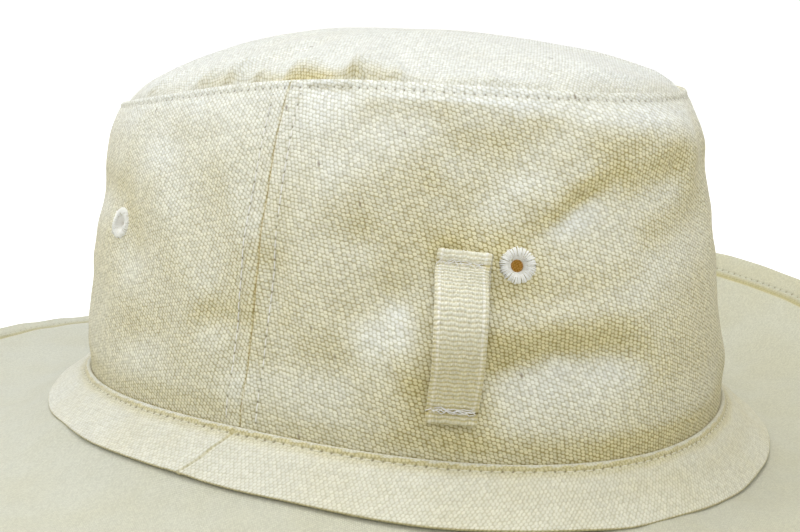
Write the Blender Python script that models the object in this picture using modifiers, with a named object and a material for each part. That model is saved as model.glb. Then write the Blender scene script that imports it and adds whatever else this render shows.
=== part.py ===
"""Canvas cricket hat, lying crown up on its own brim.

Metres, +Z up. The hat's front faces -Y and the wearer's right is -X. The origin is on the
surface that the brim rests on, under the middle of the hat. Angles go round the hat from
0 at the front, through 90 at the wearer's right, to 180 at the back.
"""

import collections
import math

import bmesh
import bpy
from mathutils import Matrix, Vector

# Crown: half sizes of the oval at the base and at the top seam, and how round its corners are
BASE_HALF_LENGTH = 0.0990
BASE_HALF_WIDTH = 0.0850
TOP_HALF_LENGTH = 0.0912
TOP_HALF_WIDTH = 0.0650
OVAL_POWER = 2.2
CROWN_HEIGHT = 0.0857
CROWN_FRONT_RISE = 0.0056
CROWN_SIDE_RISE = 0.0030
CROWN_RIGHT_RISE = 0.0027
CROWN_LEAN_LEFT = 0.0028
CROWN_LEAN_BACK = 0.0052
CROWN_BULGE = 0.0023
CROWN_TUCK = 0.0035
SEAM_ANGLE_AT_BASE = 91.5
SEAM_ANGLE_AT_TOP = 87.2
TIP_DOME = 0.0173
TIP_RIM_STEP = 0.0007

# The crown's foot puffs out over the ring, and its shoulder turns in to the top seam. Places
# and widths are shares of the crown's height.
CROWN_FOOT_PUFF = 0.0014
PUFF_PLACE = 0.16
PUFF_WIDTH = 0.11
CROWN_SHOULDER = 0.0034
SHOULDER_WIDTH = 0.14

# Brim: the sloping inner ring, and the wide outer brim that it laps over
BASE_ABOVE_REST = 0.0224
BASE_FRONT_DIP = 0.0020
BASE_END_DIP = 0.0023
RING_REACH = 0.0141
RING_FRONT_REACH = 0.0010
RING_DROP = 0.0107
RING_FRONT_DROP = 0.0017
RING_LAP = 0.0060
RING_JOINT_ANGLE = 92.0
RING_JOINT_SKEW = 6.0
BRIM_REACH = 0.0800

# Cloth walls and the clearances between pieces
CROWN_CLOTH = 0.0018
RING_CLOTH = 0.0016
BRIM_CLOTH = 0.0020
PIECE_GAP = 0.0003
SEAM_GAP = 0.0005
LAP_GAP = 0.0004

# Webbing loop on the wearer's right
LOOP_WIDTH = 0.0148
LOOP_TAPE = 0.0010
LOOP_FOLD_GAP = 0.0003
LOOP_SEAT_GAP = 0.0005
LOOP_TAIL = 0.0070
LOOP_STAND_OFF = 0.0018
LOOP_TOP_SHARE = 0.552
LOOP_FOOT_SHARE = 0.103
LOOP_TOP_ANGLE = 49.0
LOOP_FOOT_ANGLE = 53.2

# Embroidered eyelets, two on each side
EYELET_RADIUS = 0.0050
EYELET_BORE = 0.0015
EYELET_THREAD = 0.0008
EYELET_EDGE = 0.0002
EYELET_SEAT_GAP = 0.0008
EYELET_FRONT_SHARE = 0.530
EYELET_BACK_SHARE = 0.560
EYELET_FRONT_ANGLE = 40.8
EYELET_BACK_ANGLE = 133.0

MERGE = 0.00001
FULL_TURN = 360.0

# Soft folds in the crown's side: a fold runs between two places, each an angle and a share of
# the crown's height. Its width and its depth outwards are shares of the crown's height, and so
# are the stretches at the base and the top seam where the folds die out.
FOLD_FREE_BASE = 0.10
FOLD_FREE_TOP = 0.08
Fold = collections.namedtuple("Fold", "angle share to_angle to_share width depth")
CROWN_FOLDS = (
    Fold(37.0, 0.62, -2.0, 0.92, 0.070, 0.014),
    Fold(40.0, 0.50, 2.0, 0.76, 0.090, -0.014),
    Fold(48.0, 0.29, 17.0, 0.31, 0.085, -0.022),
    Fold(46.0, 0.15, 4.0, 0.07, 0.085, 0.014),
    Fold(28.0, 0.95, 33.0, 0.86, 0.060, -0.012),
    Fold(75.0, 0.62, 65.0, 0.33, 0.080, -0.010),
    Fold(80.0, 0.30, 72.0, 0.60, 0.070, 0.009),
    Fold(110.0, 0.35, 95.0, 0.28, 0.100, -0.013),
    Fold(148.0, 0.78, 176.0, 0.50, 0.150, -0.020),
    Fold(205.0, 0.30, 225.0, 0.62, 0.100, -0.013),
    Fold(262.0, 0.40, 282.0, 0.60, 0.100, 0.012),
    Fold(300.0, 0.28, 330.0, 0.34, 0.090, -0.018),
    Fold(318.0, 0.64, 350.0, 0.86, 0.080, 0.012),
)

# Gathers that rise from the top seam over the crown's tip: height is a share of the dome. They
# fade out towards the middle and at the rim, at these shares of the way from middle to rim.
GATHER_START = 0.30
GATHER_FULL = 0.85
GATHER_FREE_RIM = 0.10
Gather = collections.namedtuple("Gather", "angle width height")
TIP_GATHERS = (
    Gather(14.0, 9.0, 0.040),
    Gather(38.0, 8.0, -0.045),
    Gather(60.0, 6.0, -0.075),
    Gather(68.0, 5.0, 0.060),
    Gather(78.0, 6.0, -0.080),
    Gather(88.0, 5.0, 0.050),
    Gather(98.0, 5.0, -0.060),
    Gather(110.0, 6.0, 0.080),
    Gather(124.0, 7.0, -0.050),
    Gather(150.0, 9.0, 0.045),
    Gather(176.0, 9.0, -0.045),
    Gather(205.0, 8.0, 0.050),
    Gather(232.0, 7.0, -0.055),
    Gather(256.0, 6.0, 0.055),
    Gather(272.0, 6.0, -0.060),
    Gather(290.0, 7.0, 0.050),
    Gather(316.0, 8.0, -0.045),
    Gather(340.0, 8.0, 0.040),
)

# How far the brim's edge lifts off the surface, as a share of the brim's reach. Where two
# neighbouring rows say 0 the brim lies flat between them. The power says how late a lift begins.
LIFT_POWER = 1.5
Lift = collections.namedtuple("Lift", "angle share")
BRIM_LIFTS = (
    Lift(8.0, 0.0),
    Lift(42.0, 0.0),
    Lift(84.0, 0.090),
    Lift(120.0, 0.0),
    Lift(146.0, 0.0),
    Lift(180.0, 0.080),
    Lift(210.0, 0.0),
    Lift(224.0, 0.0),
    Lift(290.0, 0.430),
    Lift(368.0, 0.0),
)

# The ring's section from its folded top edge outwards, as shares of its reach and its drop
Section = collections.namedtuple("Section", "reach drop")
RING_SECTION = (
    Section(0.00, 0.00),
    Section(0.00, 0.10),
    Section(0.10, 0.24),
    Section(0.34, 0.47),
    Section(0.66, 0.75),
    Section(1.00, 1.00),
)

# Rows of the outer brim beyond the ring's edge, as shares of the way to the brim's edge. It
# falls from the ring and has settled on the surface at a share of that way.
BRIM_ROWS = (0.10, 0.24, 0.42, 0.60, 0.80, 0.90, 1.0)
BRIM_FLAT_FROM = 0.80
BRIM_FALL_POWER = 3.0

# Rows of the tip from its middle to its rim, as shares of the oval's half sizes
TIP_ROWS = (0.0, 0.24, 0.47, 0.67, 0.81, 0.90, 0.96, 0.99, 1.0)
TIP_ROUNDNESS = 0.87
TIP_LEVEL_POWER = 2.0

# Faces: columns and rows of a side panel, columns round the hat, sides of an eyelet, and the
# tape's columns, its steps round each folded end and its steps between the ends
PANEL_COLUMNS = 36
PANEL_ROWS = 12
ROUND_COLUMNS = 72
EYELET_SIDES = 12
TAPE_COLUMNS = 2
TAPE_FOLD_STEPS = 4
TAPE_STEPS = 8


# Finishes: colour as linear red, green and blue, and roughness
CANVAS_COLOUR = (0.80, 0.73, 0.54)
TIP_COLOUR = (0.84, 0.79, 0.64)
BRIM_COLOUR = (0.74, 0.71, 0.57)
WEBBING_COLOUR = (0.85, 0.80, 0.66)
THREAD_COLOUR = (0.90, 0.87, 0.78)
CLOTH_ROUGHNESS = 0.9
THREAD_ROUGHNESS = 0.6


def oval(half_length, half_width, angle):
    """The point of a soft-cornered oval at that angle, and its outward direction."""
    sine = math.sin(math.radians(angle))
    cosine = math.cos(math.radians(angle))
    power = OVAL_POWER
    size = abs(sine / half_width) ** power + abs(cosine / half_length) ** power
    radius = size ** (-1.0 / power)
    point = Vector((-radius * sine, -radius * cosine, 0.0))
    across = math.copysign(abs(point.x / half_width) ** (power - 1.0), point.x)
    along = math.copysign(abs(point.y / half_length) ** (power - 1.0), point.y)
    outward = Vector((across / half_width, along / half_length, 0.0)).normalized()
    return point, outward


def blend(start, end, share):
    return start + (end - start) * share


def smooth_step(share):
    share = min(max(share, 0.0), 1.0)
    return share * share * (3.0 - 2.0 * share)


def base_height(angle):
    """Height of the fold where the brim meets the crown."""
    turn = math.radians(angle)
    dip = BASE_FRONT_DIP * math.cos(turn) + BASE_END_DIP * math.cos(2.0 * turn)
    return BASE_ABOVE_REST - dip


def top_height(angle):
    """Height of the seam between the crown's side and its tip."""
    turn = math.radians(angle)
    rise = CROWN_FRONT_RISE * math.cos(turn) - CROWN_SIDE_RISE * math.cos(2.0 * turn)
    return BASE_ABOVE_REST + CROWN_HEIGHT + rise + CROWN_RIGHT_RISE * math.sin(turn)


def fold_depth(angle, share):
    """How far the crown's folds push the wall outwards at that place."""
    scale = math.radians(1.0) * BASE_HALF_LENGTH
    place = Vector((angle * scale, share * CROWN_HEIGHT))
    depth = 0.0
    for fold in CROWN_FOLDS:
        for lap in (-FULL_TURN, 0.0, FULL_TURN):
            start = Vector(((fold.angle + lap) * scale, fold.share * CROWN_HEIGHT))
            end = Vector(((fold.to_angle + lap) * scale, fold.to_share * CROWN_HEIGHT))
            along = end - start
            reach = (place - start).dot(along) / along.length_squared
            nearest = start + along * min(max(reach, 0.0), 1.0)
            away = (place - nearest).length / (fold.width * CROWN_HEIGHT)
            depth += fold.depth * CROWN_HEIGHT * math.exp(-away * away)
    fade = smooth_step(share / FOLD_FREE_BASE) * smooth_step((1.0 - share) / FOLD_FREE_TOP)
    return depth * fade


def crown_point(angle, share):
    """The outside of the crown's side. Share goes from 0 at the base to 1 at the top seam."""
    inside = min(max(share, 0.0), 1.0)
    swell = CROWN_BULGE * 4.0 * inside * (1.0 - inside)
    from_puff = (inside - PUFF_PLACE) / PUFF_WIDTH
    swell += CROWN_FOOT_PUFF * math.exp(-from_puff * from_puff) * smooth_step(inside / PUFF_WIDTH)
    swell -= CROWN_SHOULDER * max((inside - 1.0) / SHOULDER_WIDTH + 1.0, 0.0) ** 2
    swell += fold_depth(angle, inside)
    half_length = blend(BASE_HALF_LENGTH, TOP_HALF_LENGTH, inside)
    half_width = blend(BASE_HALF_WIDTH, TOP_HALF_WIDTH, inside)
    point, outward = oval(half_length, half_width, angle)
    point += outward * swell
    point.x += CROWN_LEAN_LEFT * inside
    point.y += CROWN_LEAN_BACK * inside
    point.z = blend(base_height(angle), top_height(angle), share)
    return point


def crown_frame(angle, share):
    """A place on the crown's side: X along the oval, Y up the wall, Z out of it."""
    turn_step = 1.0
    share_step = 0.01
    point = crown_point(angle, share)
    along = crown_point(angle - turn_step, share) - crown_point(angle + turn_step, share)
    up = crown_point(angle, share + share_step) - crown_point(angle, share - share_step)
    out = along.cross(up).normalized()
    up = out.cross(along).normalized()
    side = up.cross(out)
    turn = Matrix((side, up, out)).transposed().to_4x4()
    return Matrix.Translation(point) @ turn


def seam_angle(share):
    return blend(SEAM_ANGLE_AT_BASE, SEAM_ANGLE_AT_TOP, share)


def half_seam_gap(share):
    """Half of the gap at a side seam, as an angle."""
    half_width = blend(BASE_HALF_WIDTH, TOP_HALF_WIDTH, share)
    return math.degrees(0.5 * SEAM_GAP / half_width)


def ring_reach(angle):
    return RING_REACH + RING_FRONT_REACH * math.cos(math.radians(angle))


def ring_drop(angle):
    return RING_DROP + RING_FRONT_DROP * math.cos(math.radians(angle))


def ring_stand_off():
    """How far the ring's folded top edge stands out from the crown's side."""
    return PIECE_GAP + RING_CLOTH


def around_base(angle, reach, height):
    """A place that lies that far out from the crown's base oval."""
    point, outward = oval(BASE_HALF_LENGTH, BASE_HALF_WIDTH, angle)
    point += outward * reach
    point.z = height
    return point


def ring_place(angle, row):
    """Reach and height of the ring's upper surface at a row of its section."""
    reach = blend(ring_stand_off(), ring_reach(angle), row.reach)
    return reach, base_height(angle) - ring_drop(angle) * row.drop


def ring_slope(angle):
    """Fall of the ring's outer stretch for each unit of reach."""
    inner_reach, inner_height = ring_place(angle, RING_SECTION[-2])
    outer_reach, outer_height = ring_place(angle, RING_SECTION[-1])
    return (inner_height - outer_height) / (outer_reach - inner_reach)


def brim_lift(angle):
    """How far the brim's edge lifts off the surface at that angle."""
    angle = (angle - BRIM_LIFTS[0].angle) % FULL_TURN + BRIM_LIFTS[0].angle
    for low, high in zip(BRIM_LIFTS, BRIM_LIFTS[1:]):
        if angle <= high.angle:
            share = smooth_step((angle - low.angle) / (high.angle - low.angle))
            return blend(low.share, high.share, share) * BRIM_REACH
    return 0.0


def brim_height(angle, reach):
    """Height of the outer brim's upper surface, that far out from the crown's base."""
    slope = ring_slope(angle)
    under_ring = (RING_CLOTH + LAP_GAP) * math.hypot(1.0, slope)
    start_reach, start_height = ring_place(angle, RING_SECTION[-1])
    start_height -= under_ring
    if reach <= start_reach:
        return start_height + slope * (start_reach - reach)
    share = (reach - start_reach) / (BRIM_REACH - start_reach)
    settled = min(share / BRIM_FLAT_FROM, 1.0)
    fall = 1.0 - (1.0 - settled) ** BRIM_FALL_POWER
    return blend(start_height, BRIM_CLOTH, fall) + brim_lift(angle) * share**LIFT_POWER


def tip_point(angle, share):
    """The outside of the crown's tip. Share goes from 0 in the middle to 1 at its rim."""
    rim = crown_point(angle, 1.0)
    middle = Vector((CROWN_LEAN_LEFT, CROWN_LEAN_BACK, BASE_ABOVE_REST + CROWN_HEIGHT))
    point = middle.lerp(rim, share)
    point.z = blend(middle.z, rim.z, share**TIP_LEVEL_POWER)
    gathered = 0.0
    for gather in TIP_GATHERS:
        away = (angle - gather.angle + 0.5 * FULL_TURN) % FULL_TURN - 0.5 * FULL_TURN
        gathered += gather.height * math.exp(-((away / gather.width) ** 2))
    risen = smooth_step((share - GATHER_START) / (GATHER_FULL - GATHER_START))
    risen *= smooth_step((1.0 - share) / GATHER_FREE_RIM)
    dome = (1.0 - share * share) ** TIP_ROUNDNESS + gathered * risen
    step = TIP_RIM_STEP if share < 1.0 else 0.0
    point.z += SEAM_GAP + step + TIP_DOME * dome
    return point


def material(name, colour, roughness):
    """A plain finish with the piece's colour."""
    made = bpy.data.materials.new(name)
    made.use_nodes = True
    shader = made.node_tree.nodes["Principled BSDF"]
    shader.inputs["Base Color"].default_value = (*colour, 1.0)
    shader.inputs["Roughness"].default_value = roughness
    shader.inputs["Metallic"].default_value = 0.0
    made.diffuse_color = (*colour, 1.0)
    return made


def add_piece(name, mesh, collection, finish):
    piece = bpy.data.objects.new(name, mesh)
    collection.objects.link(piece)
    mesh.materials.append(finish)
    return piece


def cloth_sheet(name, columns, rows, place, cloth, collection, finish):
    """A cloth wall from a flat grid. Place gives each point from its shares across and down the
    grid, edges that meet are joined, and the cloth gets its thickness on its inner side."""
    work = bmesh.new()
    bmesh.ops.create_grid(work, x_segments=columns, y_segments=rows, size=0.5)
    for vert in work.verts:
        vert.co = place(vert.co.x + 0.5, vert.co.y + 0.5)
    bmesh.ops.remove_doubles(work, verts=work.verts, dist=MERGE)
    mesh = bpy.data.meshes.new(name)
    work.to_mesh(mesh)
    work.free()
    mesh.shade_smooth()
    piece = add_piece(name, mesh, collection, finish)
    wall = piece.modifiers.new("cloth", "SOLIDIFY")
    wall.thickness = cloth
    wall.offset = -1.0
    wall.use_even_offset = False
    return piece


def front_ends(share):
    """The angles at which the front panel starts and ends, at a share of the crown's height."""
    seam = seam_angle(share) - half_seam_gap(share)
    return -seam, seam


def back_ends(share):
    """The angles at which the back panel starts and ends."""
    seam = seam_angle(share) + half_seam_gap(share)
    return seam, FULL_TURN - seam


def side_panel(name, ends, collection, finish):
    """Half of the crown's side, between the two side seams. Its last row of faces is tucked
    down behind the ring."""
    base_row = PANEL_ROWS - 1

    def place(across, down):
        row = round(down * PANEL_ROWS)
        share = 1.0 - row / base_row if row <= base_row else -CROWN_TUCK / CROWN_HEIGHT
        start, end = ends(share)
        return crown_point(blend(start, end, across), share)

    return cloth_sheet(name, PANEL_COLUMNS, PANEL_ROWS, place, CROWN_CLOTH, collection, finish)


def crown_tip(collection, finish):
    """The domed top of the crown, gathered along the top seam."""
    last = len(TIP_ROWS) - 1

    def place(across, down):
        return tip_point(across * FULL_TURN, TIP_ROWS[round(down * last)])

    return cloth_sheet("crown_tip", ROUND_COLUMNS, last, place, CROWN_CLOTH, collection, finish)


def brim_inner_ring(collection, finish):
    """The sloping bias strip round the crown's base. Its two ends meet at a slanted joint."""
    last = len(RING_SECTION) - 1
    joint_gap = math.degrees(SEAM_GAP / BASE_HALF_WIDTH)

    def place(across, down):
        row = RING_SECTION[round(down * last)]
        turn = blend(0.5 * joint_gap, FULL_TURN - 0.5 * joint_gap, across)
        angle = RING_JOINT_ANGLE + RING_JOINT_SKEW * row.reach + turn
        reach, height = ring_place(angle, row)
        return around_base(angle, reach, height)

    return cloth_sheet("brim_inner_ring", ROUND_COLUMNS, last, place, RING_CLOTH, collection, finish)


def brim_outer(collection, finish):
    """The wide brim. Its inner edge lies under the ring, and its outer part on the surface."""
    last = len(BRIM_ROWS) + 1

    def place(across, down):
        angle = across * FULL_TURN
        row = round(down * last)
        reach = ring_reach(angle)
        if row == 0:
            reach -= RING_LAP
        elif row > 1:
            reach = blend(reach, BRIM_REACH, BRIM_ROWS[row - 2])
        return around_base(angle, reach, brim_height(angle, reach))

    return cloth_sheet("brim_outer", ROUND_COLUMNS, last, place, BRIM_CLOTH, collection, finish)


def loop_path():
    """The tape's middle line: distance down from the loop's top end, and distance out from the
    crown. Both ends are folded under, and the stretch between them stands off a little."""
    length = (LOOP_TOP_SHARE - LOOP_FOOT_SHARE) * CROWN_HEIGHT
    fold = 0.5 * (LOOP_TAPE + LOOP_FOLD_GAP)
    inner = LOOP_SEAT_GAP + 0.5 * LOOP_TAPE
    turns = [math.pi * step / TAPE_FOLD_STEPS for step in range(TAPE_FOLD_STEPS + 1)]
    path = [(fold + LOOP_TAIL, inner)]
    for turn in turns:
        path.append((fold - fold * math.sin(turn), inner + fold - fold * math.cos(turn)))
    for step in range(1, TAPE_STEPS):
        share = step / TAPE_STEPS
        swell = LOOP_STAND_OFF * math.sin(math.pi * share) ** 2
        path.append((blend(fold, length - fold, share), inner + 2.0 * fold + swell))
    for turn in reversed(turns):
        down = length - fold + fold * math.sin(turn)
        path.append((down, inner + fold - fold * math.cos(turn)))
    path.append((length - fold - LOOP_TAIL, inner))
    return path, length


def webbing_loop(collection, finish):
    """A loop of flat tape sewn to the crown at both ends."""
    path, length = loop_path()
    last = len(path) - 1

    def place(across, down):
        along, out = path[round(down * last)]
        share = along / length
        angle = blend(LOOP_TOP_ANGLE, LOOP_FOOT_ANGLE, share)
        height_share = blend(LOOP_TOP_SHARE, LOOP_FOOT_SHARE, share)
        side = (across - 0.5) * LOOP_WIDTH
        return crown_frame(angle, height_share) @ Vector((-side, 0.0, out))

    piece = cloth_sheet(
        "webbing_loop", TAPE_COLUMNS, last, place, LOOP_TAPE, collection, finish
    )
    piece.modifiers["cloth"].offset = 0.0
    return piece


def eyelet_profile():
    """Half section of an eyelet: thread wrapped over the cloth's edge on both sides."""
    sleeve = EYELET_BORE + EYELET_THREAD
    crest = blend(EYELET_BORE, EYELET_RADIUS, 0.5)
    seat = EYELET_SEAT_GAP
    back = -CROWN_CLOTH - EYELET_SEAT_GAP
    return (
        (EYELET_BORE, seat + EYELET_EDGE),
        (blend(EYELET_BORE, crest, 0.5), seat + EYELET_THREAD),
        (crest, seat + EYELET_THREAD),
        (EYELET_RADIUS, seat + EYELET_EDGE),
        (EYELET_RADIUS, seat),
        (sleeve, seat),
        (sleeve, back),
        (crest, back),
        (crest, back - EYELET_EDGE),
        (EYELET_BORE, back - EYELET_THREAD),
    )


def eyelet_places(front, back):
    """Name, panel, angle and height share of each eyelet."""
    return (
        ("eyelet_right_front", front, EYELET_FRONT_ANGLE, EYELET_FRONT_SHARE),
        ("eyelet_right_back", back, EYELET_BACK_ANGLE, EYELET_BACK_SHARE),
        ("eyelet_left_front", front, -EYELET_FRONT_ANGLE, EYELET_FRONT_SHARE),
        ("eyelet_left_back", back, FULL_TURN - EYELET_BACK_ANGLE, EYELET_BACK_SHARE),
    )


def eyelet(name, angle, share, collection, finish):
    """One embroidered eyelet, turned from its section and set into the crown's side."""
    profile = eyelet_profile()
    work = bmesh.new()
    verts = [work.verts.new((radius, 0.0, height)) for radius, height in profile]
    for start, end in zip(verts, verts[1:] + verts[:1]):
        work.edges.new((start, end))
    mesh = bpy.data.meshes.new(name)
    work.to_mesh(mesh)
    work.free()
    piece = add_piece(name, mesh, collection, finish)
    turn = piece.modifiers.new("turn", "SCREW")
    turn.axis = "Z"
    turn.steps = EYELET_SIDES
    turn.render_steps = EYELET_SIDES
    turn.use_merge_vertices = True
    turn.merge_threshold = MERGE
    piece.matrix_world = crown_frame(angle, share)
    return piece


def eyelet_cutter(name, angle, share, collection):
    """The hole that an eyelet lines, as a cylinder that runs well past both faces of the cloth."""
    work = bmesh.new()
    radius = EYELET_BORE + EYELET_THREAD + PIECE_GAP
    past_each_face = 2.5 * CROWN_CLOTH
    bmesh.ops.create_cone(
        work,
        cap_ends=True,
        segments=EYELET_SIDES,
        radius1=radius,
        radius2=radius,
        depth=CROWN_CLOTH + 2.0 * past_each_face,
    )
    mesh = bpy.data.meshes.new(name)
    work.to_mesh(mesh)
    work.free()
    cutter = bpy.data.objects.new(name, mesh)
    collection.objects.link(cutter)
    cutter.matrix_world = crown_frame(angle, share)
    cutter.hide_render = True
    cutter.display_type = "WIRE"
    return cutter


def cut_hole(panel, cutter):
    cut = panel.modifiers.new(cutter.name, "BOOLEAN")
    cut.operation = "DIFFERENCE"
    cut.solver = "EXACT"
    cut.object = cutter


def main():
    for old in list(bpy.data.objects):
        bpy.data.objects.remove(old)
    hat = bpy.data.collections.new("cricket_hat")
    cutters = bpy.data.collections.new("cutters")
    for collection in (hat, cutters):
        bpy.context.scene.collection.children.link(collection)
    front_finish = material("front_canvas", CANVAS_COLOUR, CLOTH_ROUGHNESS)
    front = side_panel("crown_side_front", front_ends, hat, front_finish)
    back_finish = material("back_canvas", CANVAS_COLOUR, CLOTH_ROUGHNESS)
    back = side_panel("crown_side_back", back_ends, hat, back_finish)
    crown_tip(hat, material("tip_canvas", TIP_COLOUR, CLOTH_ROUGHNESS))
    brim_inner_ring(hat, material("ring_canvas", CANVAS_COLOUR, CLOTH_ROUGHNESS))
    brim_outer(hat, material("brim_canvas", BRIM_COLOUR, CLOTH_ROUGHNESS))
    webbing_loop(hat, material("webbing", WEBBING_COLOUR, THREAD_ROUGHNESS))
    for name, panel, angle, share in eyelet_places(front, back):
        thread = material(name + "_thread", THREAD_COLOUR, THREAD_ROUGHNESS)
        eyelet(name, angle, share, hat, thread)
        cut_hole(panel, eyelet_cutter(name + "_hole", angle, share, cutters))


main()
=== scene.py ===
"""Cloth, thread and studio for the canvas cricket hat, sewn round its frame.

Metres, +Z up. The hat's front faces -Y and the wearer's right is -X. Angles go round the hat from
0 at the front, through 90 at the wearer's right, to 180 at the back.
"""

import collections
import math

import bmesh
import bpy
import numpy as np
from mathutils import Matrix, Vector


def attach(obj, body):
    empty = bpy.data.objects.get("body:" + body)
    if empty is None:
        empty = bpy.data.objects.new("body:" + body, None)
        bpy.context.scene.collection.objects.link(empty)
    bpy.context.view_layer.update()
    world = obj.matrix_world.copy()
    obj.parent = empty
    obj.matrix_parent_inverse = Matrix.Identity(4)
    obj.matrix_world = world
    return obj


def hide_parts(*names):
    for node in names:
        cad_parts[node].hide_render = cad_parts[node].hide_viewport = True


bl_info = {
    "name": "Cricket Hat",
    "version": (1, 0, 0),
    "blender": (4, 5, 0),
    "location": "3D View > Sidebar > Cricket Hat",
    "description": "Sews the canvas, tape, eyelets and stitches of a cricket hat round its frame",
    "category": "Object",
}

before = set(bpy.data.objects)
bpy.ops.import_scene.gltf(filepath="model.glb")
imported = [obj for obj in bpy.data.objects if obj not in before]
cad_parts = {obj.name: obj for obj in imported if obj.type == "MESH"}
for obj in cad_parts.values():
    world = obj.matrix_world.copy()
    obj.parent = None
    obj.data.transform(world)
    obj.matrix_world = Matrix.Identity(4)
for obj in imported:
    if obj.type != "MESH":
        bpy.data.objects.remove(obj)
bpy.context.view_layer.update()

# The frame's own shape: crown, ring and brim
BASE_HALF_LENGTH = 0.0990
BASE_HALF_WIDTH = 0.0850
TOP_HALF_LENGTH = 0.0912
TOP_HALF_WIDTH = 0.0650
OVAL_POWER = 2.2
CROWN_HEIGHT = 0.0857
CROWN_FRONT_RISE = 0.0056
CROWN_SIDE_RISE = 0.0030
CROWN_RIGHT_RISE = 0.0027
CROWN_LEAN_LEFT = 0.0028
CROWN_LEAN_BACK = 0.0052
CROWN_BULGE = 0.0023
CROWN_TUCK = 0.0035
CROWN_TAPER = 0.153
CROWN_SLOPE = 0.166
SEAM_ANGLE_AT_BASE = 91.5
SEAM_ANGLE_AT_TOP = 87.2
TIP_DOME = 0.0180
CROWN_FOOT_PUFF = 0.0005
PUFF_PLACE = 0.16
PUFF_WIDTH = 0.11
CROWN_SHOULDER = 0.0034
SHOULDER_WIDTH = 0.14
SHOULDER_FULLNESS = 0.48
SHOULDER_FULL_ANGLE = 152.0
SHOULDER_FULL_WIDTH = 70.0
BASE_ABOVE_REST = 0.0224
BASE_FRONT_DIP = 0.0020
BASE_END_DIP = 0.0023
RING_REACH = 0.0141
RING_FRONT_REACH = 0.0010
RING_DROP = 0.0107
RING_FRONT_DROP = 0.0017
RING_LAP = 0.0060
RING_JOINT_ANGLE = 92.0
RING_JOINT_SKEW = 6.0
BRIM_REACH = 0.0800
CROWN_CLOTH = 0.0018
RING_CLOTH = 0.0016
BRIM_CLOTH = 0.0020
PIECE_GAP = 0.0003
LAP_GAP = 0.0004
LOOP_WIDTH = 0.0148
LOOP_TAPE = 0.0010
LOOP_FOLD_GAP = 0.0003
LOOP_SEAT_GAP = 0.0005
LOOP_TAIL = 0.0070
LOOP_STAND_OFF = 0.0027
LOOP_TOP_SHARE = 0.552
LOOP_FOOT_SHARE = 0.103
LOOP_TOP_ANGLE = 49.0
LOOP_FOOT_ANGLE = 53.2
EYELET_RADIUS = 0.0050
EYELET_BORE = 0.0015
EYELET_FRONT_SHARE = 0.530
EYELET_BACK_SHARE = 0.560
EYELET_FRONT_ANGLE = 40.8
EYELET_BACK_ANGLE = 133.0
FULL_TURN = 360.0

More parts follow.
